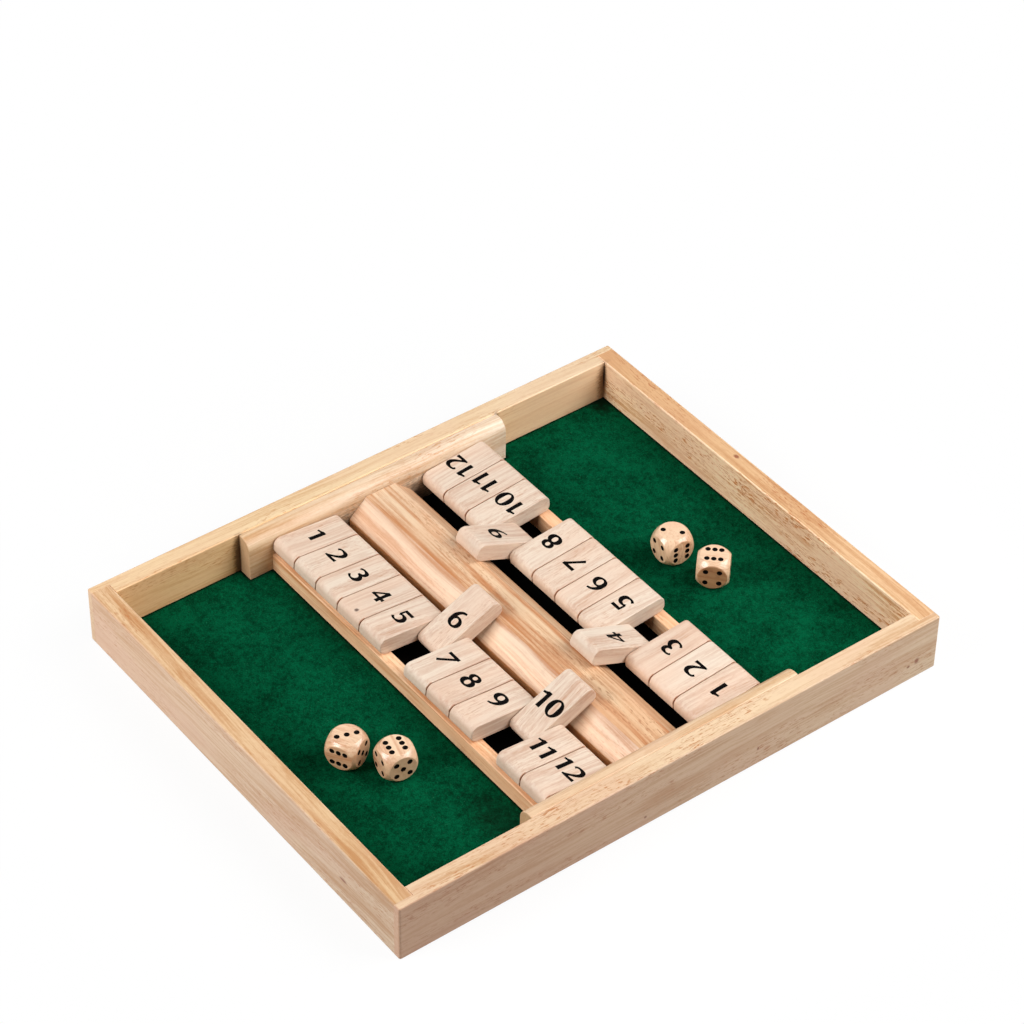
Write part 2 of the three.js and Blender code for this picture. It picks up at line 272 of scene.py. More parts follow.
def outline(corners, inset):
    """Points of a closed anticlockwise outline through corners (x, y, radius, share). Each edge moves in by
    the inset times the share of the corner that it leaves, and a corner keeps what is left of its radius."""
    places, radii, shares = corners[:, :2], corners[:, 2], corners[:, 3]
    after = edge_normals(places)
    pairs = np.stack([np.roll(after, 1, axis=0), after], axis=1)
    left = np.where(radii > 0, np.maximum(radii - inset * shares, 0.0), 0.0)
    moved = inset * np.stack([np.roll(shares, 1), shares], axis=1)
    reach = np.einsum("kij,kj->ki", pairs, places) - moved - left[:, None]
    centres = np.linalg.solve(pairs, reach[..., None])[..., 0]
    owner, spokes, _ = corner_turns(corners)
    return centres[owner] + left[owner, None] * spokes


def raised(flat, height):
    """Points of a plane with a third coordinate."""
    return np.concatenate([flat, np.broadcast_to(height, (*flat.shape[:-1], 1))], axis=-1)


def ring_of_quads(rows, columns):
    """Quads between neighbouring rows of points, where each row is closed on itself."""
    row = np.arange(rows - 1)[:, None] * columns
    here = np.arange(columns)[None, :]
    following = (here + 1) % columns
    quads = [row + here, row + following, row + columns + following, row + columns + here]
    return np.stack(quads, axis=2).reshape(-1, 4)


def bar_sides(corners, length, rim):
    """The sides of a bar: an outline carried along the third axis, centred, with rims that turn in by a
    quarter circle. At turn t of the rim the outline is inset by rim times (1 - cos t) and rises by rim times
    sin t. Gives the rows of points, the quads between them and the normals at the quads' corners."""
    turns = np.linspace(0, math.pi / 2, RIM_STEPS + 1)
    order = np.concatenate([np.arange(RIM_STEPS, -1, -1), np.arange(RIM_STEPS + 1)])
    sign = np.repeat([-1.0, 1.0], RIM_STEPS + 1)
    sections = np.stack([outline(corners, rim * (1 - math.cos(turn))) for turn in turns])[order]
    turns = turns[order]
    heights = sign * (length / 2 - rim * (1 - np.sin(turns)))
    columns = sections.shape[1]
    points = raised(sections, heights[:, None, None])
    owner, spokes, leaving = corner_turns(corners)
    straight = edge_normals(corners[:, :2])[owner]
    starts = np.where(leaving[:, None], straight, spokes)
    ends = np.where(leaving[:, None], straight, np.roll(spokes, -1, axis=0))
    rise = (sign * np.sin(turns))[:, None] * corners[owner, 3]

    def leant(flat):
        return raised(flat[None] * np.cos(turns)[:, None, None], rise[..., None])

    first, second = leant(starts), leant(ends)
    normals = np.stack([first[:-1], second[:-1], second[1:], first[1:]], axis=2).reshape(-1, 4, 3)
    return points, ring_of_quads(len(order), columns), normals


def bar(corners, length, rim, placing):
    """A whole bar: its sides and a flat cap on each end."""
    points, quads, normals = bar_sides(np.array(corners), length, rim)
    columns = points.shape[1]
    last = points.shape[0] * columns
    below = np.arange(columns)[::-1]
    above = np.arange(last - columns, last)
    skin = Skin()
    skin.add(points, quads, normals, placing)
    skin.add(points, below[None], -Z, placing)
    skin.add(points, above[None], Z, placing)
    return skin


def covered(points, shape):
    """Whether each point lies in a closed shape: a line from it along the first axis crosses the shape's
    edges an odd number of times."""
    start = shape[None]
    end = np.roll(start, -1, axis=1)
    x, y = points[:, :1], points[:, 1:]
    spans = (start[..., 1] > y) != (end[..., 1] > y)
    rise = np.where(spans, end[..., 1] - start[..., 1], 1.0)
    crossing = start[..., 0] + (y - start[..., 1]) / rise * (end[..., 0] - start[..., 0])
    return (spans & (x < crossing)).sum(axis=1) % 2 == 1


def cut(boundary, shapes):
    """Triangles of a flat face with closed shapes cut into it: its points, its triangles, and for each
    triangle whether it lies in any of the shapes."""
    loops = [boundary, *shapes]
    points = np.concatenate(loops)
    ends = np.cumsum([len(loop) for loop in loops])
    faces = [list(range(end - len(loop), end)) for loop, end in zip(loops, ends)]
    drawn = (points * CUT_SCALE).tolist()
    found, _, triangles, origins = delaunay_2d_cdt(drawn, [], faces, CUT_INSIDE, CUT_NEARNESS)[:4]
    places = np.array([tuple(place) for place in found]) / CUT_SCALE
    sources = np.array([origin[0] if origin else -1 for origin in origins])
    places[sources >= 0] = points[sources[sources >= 0]]
    triangles = np.array(triangles)
    middles = places[triangles].mean(axis=1)
    inside = np.any([covered(middles, shape) for shape in shapes], axis=0)
    return places, triangles, inside


def rectangle(low, high, radius=0.0):
    """Corner rows of a rectangle, anticlockwise."""
    return [
        [low[0], low[1], radius, 1.0],
        [high[0], low[1], radius, 1.0],
        [high[0], high[1], radius, 1.0],
        [low[0], high[1], radius, 1.0],
    ]


def circle(radius, count, centre=(0.0, 0.0)):
    """Points at even turns round a centre, without repeating the first."""
    turn = np.linspace(0, 2 * math.pi, count, endpoint=False)
    return np.array(centre) + radius * np.stack([np.cos(turn), np.sin(turn)], axis=1)


# What the frame says of each node

def corners_of(node):
    low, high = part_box(node)
    return np.array(low, dtype=float), np.array(high, dtype=float)


def middle_of(node):
    return sum(corners_of(node)) / 2


def points_of(node):
    """The separate points of a CAD node's mesh."""
    mesh = frame["nodes"][node].data
    flat = np.empty(3 * len(mesh.vertices))
    mesh.vertices.foreach_get("co", flat)
    return np.unique(np.round(flat.reshape(-1, 3) / WELD), axis=0) * WELD


# Node trees written as sums

def tint(red, green, blue):
    """The linear colour of a screen colour given from 0 to 255, by the usual screen curve."""
    share = np.array([red, green, blue]) / 255
    linear = np.where(share <= 0.04045, share / 12.92, ((share + 0.055) / 1.055) ** 2.4)
    return (*linear.tolist(), 1.0)


def grey(level):
    return (level, level, level, 1.0)


class Signal:
    """An output of a node. Arithmetic on it adds Math nodes."""

    def __init__(self, finish, socket):
        self.finish = finish
        self.socket = socket

    def maths(self, operation, *terms):
        return self.finish.node("ShaderNodeMath", {"operation": operation}, dict(enumerate(terms)))

    def __add__(self, other):
        return self.maths("ADD", self, other)

    def __sub__(self, other):
        return self.maths("SUBTRACT", self, other)

    def __rsub__(self, other):
        return self.maths("SUBTRACT", other, self)

    def __mul__(self, other):
        return self.maths("MULTIPLY", self, other)

    __radd__ = __add__
    __rmul__ = __mul__

    def rise(self, low, high):
        """0 below low and 1 above high, with a smooth step between them."""
        settings = {"interpolation_type": "SMOOTHSTEP"}
        inputs = {"Value": self, "From Min": low, "From Max": high}
        return self.finish.node("ShaderNodeMapRange", settings, inputs)


class Finish:
    """A material, or a world, and its node tree."""

    def __init__(self, name, owners=bpy.data.materials):
        self.owner = owners.new(name)
        self.owner.use_nodes = True
        self.tree = self.owner.node_tree
        self.tree.nodes.clear()

    def node(self, kind, settings=None, inputs=None, output=0):
        """Adds a node, with its settings first and then the value or link of each input. Gives an output."""
        made = self.tree.nodes.new(kind)
        for name, value in (settings or {}).items():
            setattr(made, name, value)
        for key, value in (inputs or {}).items():
            if isinstance(value, Signal):
                self.tree.links.new(value.socket, made.inputs[key])
            else:
                made.inputs[key].default_value = value
        return Signal(self, made.outputs[output]) if made.outputs else None

    def attribute(self, name, output="Fac"):
        return self.node("ShaderNodeAttribute", {"attribute_name": name}, output=output)

    def place(self):
        return self.node("ShaderNodeTexCoord", output="Object")

    def vector(self, operation, first, second):
        return self.node("ShaderNodeVectorMath", {"operation": operation}, {0: first, 1: second})

    def length(self, vector):
        return self.node("ShaderNodeVectorMath", {"operation": "LENGTH"}, {0: vector}, output="Value")

    def away(self, place, centre, reach):
        """How far a place is from a spot's centre, where the spot's reach along each axis counts as 1."""
        return self.length(self.vector("DIVIDE", self.vector("SUBTRACT", place, centre), reach))

    def noise(self, place, cells, detail, roughness=0.5, step=None):
        """Smooth noise from 0 to 1 with so many cells in a metre along each axis, or a smooth step of it."""
        stretched = self.vector("MULTIPLY", place, cells)
        inputs = {"Vector": stretched, "Scale": 1.0, "Detail": detail, "Roughness": roughness}
        made = self.node("ShaderNodeTexNoise", {"noise_dimensions": "3D"}, inputs)
        return made.rise(*step) if step else made

    def mix(self, share, first, second, blend="MIX"):
        """A colour between two others."""
        settings = {"data_type": "RGBA", "blend_type": blend}
        return self.node("ShaderNodeMix", settings, {0: share, 6: first, 7: second}, output=2)

    def bump(self, height, strength, distance):
        inputs = {"Strength": strength, "Distance": distance, "Height": height}
        return self.node("ShaderNodeBump", None, inputs)

    def surface(self, inputs):
        """The shader: its constants sit on its own sockets, and only what varies is linked."""
        shader = self.node("ShaderNodeBsdfPrincipled", None, inputs)
        self.node("ShaderNodeOutputMaterial", None, {"Surface": shader})
        return self.owner


# Finishes of the wood

# The stick's pith beside it, the rings round it, and how far and how often the grain wanders off its line
PITH = (0.0, 0.045, 0.055)
RINGS_PER_METRE = 230.0
RING_STEP = (0.36, 0.66)
WANDER_REACH = (0.0, 0.005, 0.005)
WANDER_CELLS = (16.0, 34.0, 34.0)

# Noises of the wood that run straight, and those that wander with the grain: cells in a metre along, across
# and up through the stick, detail, roughness, and the step that is taken of it
STRAIGHT_NOISES = {
    "ringed": ((9.0, 30.0, 30.0), 0.0, 0.5, (0.42, 0.62)),
    "patch": ((16.0, 48.0, 48.0), 3.0, 0.6),
    "blushed": ((12.0, 36.0, 36.0), 2.0, 0.5, (0.42, 0.66)),
    "thick": ((13.0, 70.0, 70.0), 1.0, 0.5, (0.42, 0.64)),
}
WANDERING_NOISES = {
    "band": ((5.0, 190.0, 190.0), 1.0, 0.5, (0.36, 0.66)),
    "streak": ((13.0, 560.0, 560.0), 3.0, 0.62, (0.36, 0.68)),
    "fibre": ((120.0, 1900.0, 1900.0), 2.0),
    "speckle": ((520.0, 1000.0, 1000.0), 1.0),
    "mark": ((230.0, 1000.0, 1000.0), 2.0, 0.6, (0.54, 0.70)),
    "vessel": ((140.0, 2300.0, 2300.0), 1.0, 0.4, (0.60, 0.70)),
}

# Means that are taken off the noises, so that their strength leaves the wood's tone as it is
RING_MEAN = 0.25
STREAK_MEAN = 0.45
NOISE_MEAN = 0.5

# What every wood shares: the strength of its finer figure, its level between pale and deep, how much of its
# figure a face across the grain loses, and how many flecks and pores are left where they are thin
PATCH_STRENGTH = 0.5
SPECKLE_STRENGTH = 0.25
FIBRE_STRENGTH = 0.2
GROUND_LEVEL = 0.28
CAST_STRENGTH = 0.12
DEEP_STEP = (-0.2, 1.0)
BLUSH_STRENGTH = 0.6
END_PLAINNESS = 0.7
THIN_FLECKS = 0.12
THIN_PORES = 0.2

# Shine and relief that streaks, fibres and pores give, and the strength and depth of the relief
STREAK_SHINE = 0.10
PORE_SHINE = 0.12
STREAK_RELIEF = 0.4
FIBRE_RELIEF = 0.3
PORE_RELIEF = 0.6
WOOD_BUMP = (0.3, 0.0001)
OIL = {"IOR": 1.5, "Specular IOR Level": 0.5}

# Marks on the wood: knots, a dark joint line in the back left corner, and painted shade in the corners beside
# the bearer blocks, beside that joint and in the slots behind the board's ends. Each is a colour, a place and
# a reach along each axis. Its strength fades over a step with a ragged edge.
KNOT = tint(150, 76, 24)
PIN_KNOT = tint(64, 34, 20)
SLOT_SHADE_AND_JOINT_BLACK = tint(12, 8, 6)
SHADOWED = tint(84, 50, 24)
CORNER_PAINTED_SHADE = tint(124, 80, 46)
WALL_MARKS = [
    (KNOT, (0.140, 0.1586, 0.0118), (0.002, 0.0020, 0.0026)),
    (KNOT, (0.140, 0.1530, 0.0104), (0.001, 0.0014, 0.0012)),
    (KNOT, (0.140, -0.022, 0.006), (0.001, 0.0012, 0.001)),
    (KNOT, (0.140, 0.051, 0.011), (0.001, 0.0010, 0.0014)),
    (KNOT, (-0.0215, 0.169, 0.0355), (0.0024, 0.0016, 0.002)),
    (KNOT, (0.093, -0.1727, 0.0155), (0.0042, 0.001, 0.0013)),
    (SHADOWED, (-0.1288, -0.0855, 0.018), (0.002, 0.0045, 0.026)),
    (SHADOWED, (-0.1288, 0.0855, 0.018), (0.002, 0.003, 0.026)),
    (CORNER_PAINTED_SHADE, (-0.1288, 0.1616, 0.020), (0.003, 0.006, 0.020)),
    (SLOT_SHADE_AND_JOINT_BLACK, (-0.1288, 0.1616, 0.026), (0.0011, 0.0010, 0.012)),
    (SLOT_SHADE_AND_JOINT_BLACK, (-0.1192, 0.0, 0.0095), (0.02, 0.07, 0.021)),
    (SLOT_SHADE_AND_JOINT_BLACK, (0.1192, 0.0, 0.0095), (0.02, 0.07, 0.021)),
]
TILE_MARKS = [(PIN_KNOT, (-0.0475, -0.0660, 0.0308), (0.0015, 0.0016, 0.003))]
MARK_STRENGTH = 0.9
MARK_STEP = (0.3, 1.1)
MARK_RAGGEDNESS = 0.5


def wandering(finish, grain):
    """The place in the stick, moved across the grain by a slow noise."""
    inputs = {"Vector": finish.vector("MULTIPLY", grain, WANDER_CELLS), "Scale": 1.0, "Detail": 1.0}
    wander = finish.node("ShaderNodeTexNoise", None, inputs, output="Color")
    centred = finish.vector("SUBTRACT", wander, (NOISE_MEAN,) * 3)
    return finish.vector("ADD", grain, finish.vector("MULTIPLY", centred, WANDER_REACH))


def growth_rings(finish, place):
    """Rings whose widths vary, by the distance from the pith."""
    radius = finish.length(finish.vector("ADD", finish.vector("MULTIPLY", place, (0.0, 1.0, 1.0)), PITH))
    inputs = {"W": radius * RINGS_PER_METRE, "Scale": 1.0, "Detail": 1.0, "Roughness": 0.5}
    return finish.node("ShaderNodeTexNoise", {"noise_dimensions": "1D"}, inputs).rise(*RING_STEP)


def wood(name, colours, strengths, roughness, coat, gloss, marks=()):
    """Rubberwood under clear oil. In parts of a stick growth rings round a pith beside it show. Bands,
    streaks, short flecks and fine pores run along it, broad patches change its colour, and a face cut across
    the grain is plainer. The colours are pale, deep, fleck, pore and blush, and the strengths say how much
    rings, bands, streaks, flecks and pores show."""
    pale, deep, fleck, pore, blush = (tint(*colour) for colour in colours)
    rings, bands, streaks, flecks, pores = strengths
    finish = Finish(name)
    grain = finish.attribute("grain", "Vector")
    cast = finish.attribute("cast")
    figure = finish.attribute("shade", "Alpha") * (1.0 - END_PLAINNESS * finish.attribute("endwise"))
    place = wandering(finish, grain)
    ring = growth_rings(finish, place)
    ringed, patch, blushed, thick = (finish.noise(grain, *noise) for noise in STRAIGHT_NOISES.values())
    band, streak, fibre, speckle, mark, vessel = (
        finish.noise(place, *noise) for noise in WANDERING_NOISES.values()
    )
    level = rings * (ring * ringed - RING_MEAN) + bands * (band - STREAK_MEAN)
    level = level + streaks * (streak - STREAK_MEAN) + FIBRE_STRENGTH * (fibre - NOISE_MEAN)
    level = level + SPECKLE_STRENGTH * (speckle - NOISE_MEAN) + PATCH_STRENGTH * (patch - NOISE_MEAN)
    level = level * figure + GROUND_LEVEL - CAST_STRENGTH * cast
    colour = finish.mix(level.rise(*DEEP_STEP), pale, deep)
    colour = finish.mix(blushed * BLUSH_STRENGTH, colour, blush)
    dots = mark * (THIN_FLECKS + (1.0 - THIN_FLECKS) * thick) * figure
    colour = finish.mix(dots * flecks, colour, fleck)
    dashes = vessel * (THIN_PORES + (1.0 - THIN_PORES) * thick) * figure
    colour = finish.mix(dashes * pores, colour, pore)
    # Marks: knots, a dark joint line, and painted shade in corners and slots
    for mark_colour, centre, reach in marks:
        ragged = MARK_RAGGEDNESS * (fibre - NOISE_MEAN) + MARK_RAGGEDNESS * (speckle - NOISE_MEAN)
        faded = (finish.away(finish.place(), centre, reach) + ragged).rise(*MARK_STEP)
        colour = finish.mix(MARK_STRENGTH - MARK_STRENGTH * faded, colour, mark_colour)
    relief = STREAK_RELIEF * streak + FIBRE_RELIEF * fibre - PORE_RELIEF * dashes
    # The shade attribute multiplies in each piece's tone and the painted light and shade that some faces
    # carry
    shine = {
        "Base Color": finish.mix(1.0, colour, finish.attribute("shade", "Color"), blend="MULTIPLY"),
        "Roughness": roughness + STREAK_SHINE * (streak - NOISE_MEAN) + PORE_SHINE * dashes,
        "Coat Weight": coat,
        "Coat Roughness": gloss,
        "Normal": finish.bump(relief, *WOOD_BUMP),
    }
    return finish.surface({**shine, **OIL})


WALL_WOOD = wood(
    "oiled_wall_wood",
    colours=[(248, 218, 182), (208, 156, 106), (200, 130, 72), (180, 108, 56), (240, 200, 168)],
    strengths=(0.32, 0.0, 0.46, 0.8, 0.5),
    roughness=0.5,
    coat=0.35,
    gloss=0.26,
    marks=WALL_MARKS,
)
TILE_WOOD = wood(
    "sanded_tile_wood",
    colours=[(232, 216, 198), (196, 154, 128), (196, 146, 112), (176, 124, 88), (233, 203, 180)],
    strengths=(0.28, 0.0, 0.46, 0.42, 0.4),
    roughness=0.55,
    coat=0.15,
    gloss=0.26,
    marks=TILE_MARKS,
)
BOARD_WOOD = wood(
    "oiled_board_wood",
    colours=[(247, 212, 179), (200, 130, 78), (184, 116, 66), (150, 94, 54), (242, 190, 152)],
    strengths=(0.2, 0.4, 0.54, 0.6, 0.3),
    roughness=0.44,
    coat=0.3,
    gloss=0.26,
)
DIE_WOOD = wood(
    "polished_die_wood",
    colours=[(242, 208, 172), (194, 130, 86), (180, 112, 68), (156, 100, 62), (232, 178, 144)],
    strengths=(0.34, 0.0, 0.5, 0.4, 0.3),
    roughness=0.38,
    coat=1.0,
    gloss=0.22,
)


# Finishes of the numbers and pips

INK = tint(5, 4, 4)
WORN_INK = tint(60, 42, 32)
INK_WEAR = ((40.0, 900.0, 900.0), 2.0, 0.5, (0.56, 0.78))
INK_WEAR_STRENGTH = 0.3
INK_ROUGHNESS = 0.6
WORN_ROUGHNESS = 0.2
PAINT = tint(2, 1, 1)
DULL_PAINT = tint(11, 9, 8)
PAINT_NOISE = ((900.0, 900.0, 900.0), 1.0)
PAINT_ROUGHNESS = 0.5
DULL_ROUGHNESS = 0.2


def number_ink():
    """Black ink that the wood's streaks show through a little."""
    finish = Finish("number_ink")
    wear_and_groove_shade = finish.noise(finish.attribute("grain", "Vector"), *INK_WEAR)
    colour = finish.mix(wear_and_groove_shade * INK_WEAR_STRENGTH, INK, WORN_INK)
    rough = INK_ROUGHNESS + WORN_ROUGHNESS * wear_and_groove_shade
    return finish.surface({"Base Color": colour, "Roughness": rough, "Specular IOR Level": 0.03})


def pip_paint():
    """Black paint, a little uneven."""
    finish = Finish("pip_paint")
    uneven = finish.noise(finish.place(), *PAINT_NOISE)
    colour = finish.mix(uneven, PAINT, DULL_PAINT)
    rough = PAINT_ROUGHNESS + DULL_ROUGHNESS * uneven
    return finish.surface({"Base Color": colour, "Roughness": rough, "Specular IOR Level": 0.04})


NUMBER_INK = number_ink()
PIP_PAINT = pip_paint()


# Finishes of the felt, the floor panel and the rods

# Noises of the felt, their shares in its level, its colours, and the steps of its level and of the painted
# shade along its edge
FELT_NOISES = {
    "mottle": ((60.0, 60.0, 60.0), 3.0, 0.6),
    "tuft": ((330.0, 330.0, 330.0), 4.0, 0.66),
    "nap": ((1500.0, 1500.0, 1500.0), 2.0, 0.6),
    "lint": ((1400.0, 2300.0, 2300.0), 0.0, 0.5, (0.76, 0.83)),
}
MOTTLE_SHARE = 0.25
TUFT_SHARE = 0.35
NAP_SHARE = 0.4
FELT_STEP = (0.35, 0.65)
FELT_DEEP = tint(0, 42, 23)
FELT_GREEN = tint(2, 91, 58)
LINT = tint(70, 140, 106)
LINT_STRENGTH = 0.25
# Painted shade along the felt's edge, where it meets the walls, rails and blocks
EDGE_PAINTED_SHADE = tint(8, 26, 14)
EDGE_STEP = (0.1, 1.1)
EDGE_LEAST = 0.6
EDGE_UNEVENNESS = 0.8
NAP_RELIEF = 0.5
TUFT_RELIEF = 0.5
FELT_BUMP = (0.7, 0.0005)

# Darker patches on the felt: painted shade in the back left corner, and two darker patches beside the front
# rail: place, reach and strength
DARK_PATCH_COLOUR = tint(10, 26, 14)
PATCH_STEP = (0.2, 1.1)
PATCH_RAGGEDNESS = 1.2
FELT_PATCHES = [
    ((-0.1270, 0.1595, 0.0103), (0.016, 0.013, 0.01), 0.95),
    ((0.1060, -0.0840, 0.0103), (0.036, 0.017, 0.01), 0.55),
    ((-0.0700, -0.0730, 0.0103), (0.050, 0.004, 0.01), 0.4),
]


def green_felt():
    """Short matted fibres: broad mottling, woolly tufts, a fine nap and a few pale lint specks, with painted
    shade along its edge and in the back left corner, and two darker patches beside the front rail.
    """
    finish = Finish("green_felt")
    place = finish.place()
    mottle, tuft, nap, lint = (finish.noise(place, *noise) for noise in FELT_NOISES.values())
    level = MOTTLE_SHARE * mottle + TUFT_SHARE * tuft + NAP_SHARE * nap
    colour = finish.mix(level.rise(*FELT_STEP), FELT_DEEP, FELT_GREEN)
    colour = finish.mix(lint * LINT_STRENGTH, colour, LINT)
    # Painted shade along the sheet's edge, uneven with the tufts
    edge_shade = finish.attribute("edge") * (EDGE_LEAST + EDGE_UNEVENNESS * tuft)
    colour = finish.mix(edge_shade.rise(*EDGE_STEP), colour, EDGE_PAINTED_SHADE)
    # The darker patches, with painted shade among them in the back left corner
    for centre, reach, strength in FELT_PATCHES:
        distance = finish.away(place, centre, reach) + PATCH_RAGGEDNESS * (tuft - NOISE_MEAN)
        colour = finish.mix(strength - strength * distance.rise(*PATCH_STEP), colour, DARK_PATCH_COLOUR)
    woolly = finish.bump(NAP_RELIEF * nap + TUFT_RELIEF * tuft, *FELT_BUMP)
    return finish.surface(
        {"Base Color": colour, "Roughness": 1.0, "Specular IOR Level": 0.02, "Normal": woolly}
    )


# Noises and colours of the floor panel, and the upward tilt of a face over which it turns from bare to black
PLY_FIGURE = ((4.0, 60.0, 1.0), 4.0, 0.6)
PLY_FIBRE = ((30.0, 1200.0, 1.0), 2.0)
PLY_FIGURE_SHARE = 0.7
PLY_FIBRE_SHARE = 0.3
PLY_STEP = (0.3, 0.7)
PLY_PALE = tint(222, 190, 150)
PLY_DEEP = tint(186, 146, 104)
PANEL_DUST = ((500.0, 500.0, 1.0), 2.0, 0.5, (0.55, 0.8))
PANEL_BLACK = tint(3, 3, 3)
PANEL_GREY = tint(20, 17, 15)
DUST_STRENGTH = 0.4
UPWARD_STEP = (0.3, 0.6)
PLY_ROUGHNESS = 0.7
BLACK_ROUGHNESS = 0.2


def panel_ply():
    """Thin plywood, black where it faces up into the mechanism and bare underneath."""
    finish = Finish("floor_panel_ply")
    place = finish.place()
    lying = finish.node("ShaderNodeNewGeometry", output="Normal")
    upwards = finish.node("ShaderNodeSeparateXYZ", None, {0: lying}, output="Z").rise(*UPWARD_STEP)
    figure, fibre, dust = (finish.noise(place, *noise) for noise in (PLY_FIGURE, PLY_FIBRE, PANEL_DUST))
    level = PLY_FIGURE_SHARE * figure + PLY_FIBRE_SHARE * fibre
    bare = finish.mix(level.rise(*PLY_STEP), PLY_PALE, PLY_DEEP)
    black = finish.mix(dust * DUST_STRENGTH, PANEL_BLACK, PANEL_GREY)
    return finish.surface(
        {
            "Base Color": finish.mix(upwards, bare, black),
            "Roughness": PLY_ROUGHNESS + BLACK_ROUGHNESS * upwards,
            "Specular IOR Level": 0.05,
            "Normal": finish.bump(fibre, *WOOD_BUMP),
        }
    )


STEEL_LINES = ((30.0, 6000.0, 6000.0), 2.0)
STEEL_DARK = tint(176, 178, 182)
STEEL_BRIGHT = tint(206, 208, 210)
STEEL_ROUGHNESS = 0.28
LINE_ROUGHNESS = 0.14


def drawn_steel():
    """Bright wire with draw lines along it."""
    finish = Finish("drawn_steel")
    lines = finish.noise(finish.place(), *STEEL_LINES)
    colour = finish.mix(lines, STEEL_DARK, STEEL_BRIGHT)
    rough = STEEL_ROUGHNESS + LINE_ROUGHNESS * lines
    return finish.surface({"Base Color": colour, "Roughness": rough, "Metallic": 1.0})


# Tray

TRAY_HIGH = corners_of("end_wall_right")[1]
INNER_X = corners_of("end_wall_right")[0][0]
SHOULDER_X = corners_of("side_wall_back")[1][0]
INNER_Y = corners_of("side_wall_back")[0][1]
OUTER_Y = TRAY_HIGH[1]
OUTER_X = TRAY_HIGH[0]
WALL_TOP = TRAY_HIGH[2]

# A shade is three factors of the wood's colour and the strength of its figure. On the faces of each wall
# there is one for the low and one for the high end of its length. They are partly the wood's own tone and
# partly painted light and shade, which darkens the right wall's outer face and lightens the inner faces of
# the left and back walls.
PLAIN_SHADE = (1.0, 1.0, 1.0, 1.0)
WALL_TONES_AND_PAINTED_LIGHT = {
    "end_wall_right": {
        "top": ((0.84, 0.84, 0.83, 1.2), (0.80, 0.80, 0.78, 1.2)),
        "outer": ((0.67, 0.55, 0.51, 1.0), (0.76, 0.76, 0.75, 1.0)),
        "inner": ((0.92, 0.9, 0.88, 1.0), (0.92, 0.9, 0.88, 1.0)),
    },
    "end_wall_left": {
        "top": ((0.97, 0.98, 0.88, 1.0), (0.95, 1.03, 1.02, 1.2)),
        "outer": ((0.95, 0.93, 0.9, 1.0), (0.95, 0.93, 0.9, 1.0)),
        "inner": ((1.1, 1.02, 0.79, 1.2), (1.1, 1.14, 1.12, 1.2)),
    },
    "side_wall_back": {
        "top": ((0.76, 0.6, 0.42, 1.2), (0.82, 0.73, 0.62, 1.3)),
        "outer": ((0.9, 0.86, 0.82, 1.0), (0.9, 0.86, 0.82, 1.0)),
        "inner": ((1.14, 1.12, 1.1, 2.8), (1.18, 1.16, 1.16, 2.6)),
    },
    "side_wall_front": {
        "top": ((0.86, 0.8, 0.7, 1.4), (0.78, 0.72, 0.6, 1.5)),
        "outer": ((0.91, 0.87, 0.87, 0.7), (0.76, 0.77, 0.79, 1.2)),
        "inner": ((0.92, 0.9, 0.88, 1.0), (0.92, 0.9, 0.88, 1.0)),
    },
}

# Shades of the upper and lower edge of the board's front shoulder at its low and high end, of the side below
# it, along the rest of the board, of the rails, and along the bearer blocks and on their ends. The shoulder's
# are partly the wood's tone and partly painted light that lightens its lower edge where the tiles shade it,
# the side below it is painted lighter for the same reason, the left block's grow into a painted highlight
# towards its far end, and the blocks' ends carry painted shade.
SHOULDER_TONES_AND_PAINTED_LIGHT = (
    ((0.97, 1.07, 1.17, 0.6), (0.84, 0.91, 0.97, 1.1)),
    ((1.1, 1.15, 1.2, 0.7), (1.1, 1.1, 1.1, 1.0)),
)
BOARD_SIDE_PAINTED_LIGHT = (1.1, 0.84, 0.56, 1.0)
BOARD_SHADES = ((0.92, 0.96, 0.94, 1.1), (0.81, 0.77, 0.67, 1.2))
RAIL_SHADE = (1.08, 1.1, 1.04, 0.8)
BLOCK_TONES_AND_PAINTED_HIGHLIGHT = {
    "bearer_block_right": ((0.84, 0.8, 0.77, 1.0), (0.86, 0.9, 0.9, 1.0)),
    "bearer_block_left": ((0.90, 0.88, 0.83, 1.0), (1.03, 1.2, 1.46, 1.0)),
}
BLOCK_END_PAINTED_SHADE = (0.72, 0.68, 0.62, 1.0)


def shaded(chosen, shade, other):
    """The shade at each chosen point, and the other one elsewhere."""
    return np.where(chosen[:, None], np.array(shade), np.array(other))


def blended(shades, points, node, run):
    """The shade at each point of a node, which goes from the first to the last of two along the run axis."""
    low, high = corners_of(node)
    share = ((points[:, run] - low[run]) / (high[run] - low[run]))[:, None]
    return np.array(shades[0]) * (1 - share) + np.array(shades[1]) * share


def wall_shades(node):
    """Gives the shade at each point of a wall: that of its top, or of its outer or inner side, each partly
    the wood's tone and partly painted light and shade.
    """
    run = 1 if node.startswith("end") else 0
    inwards = abs(middle_of(node)[1 - run])

    def shades(points):
        faces = {face: blended(pair, points, node, run) for face, pair in WALL_TONES_AND_PAINTED_LIGHT[node].items()}
        side = shaded(np.abs(points[:, 1 - run]) > inwards, faces["outer"], faces["inner"])
        return shaded(points[:, 2] > WALL_TOP - WELD, faces["top"], side)

    return shades


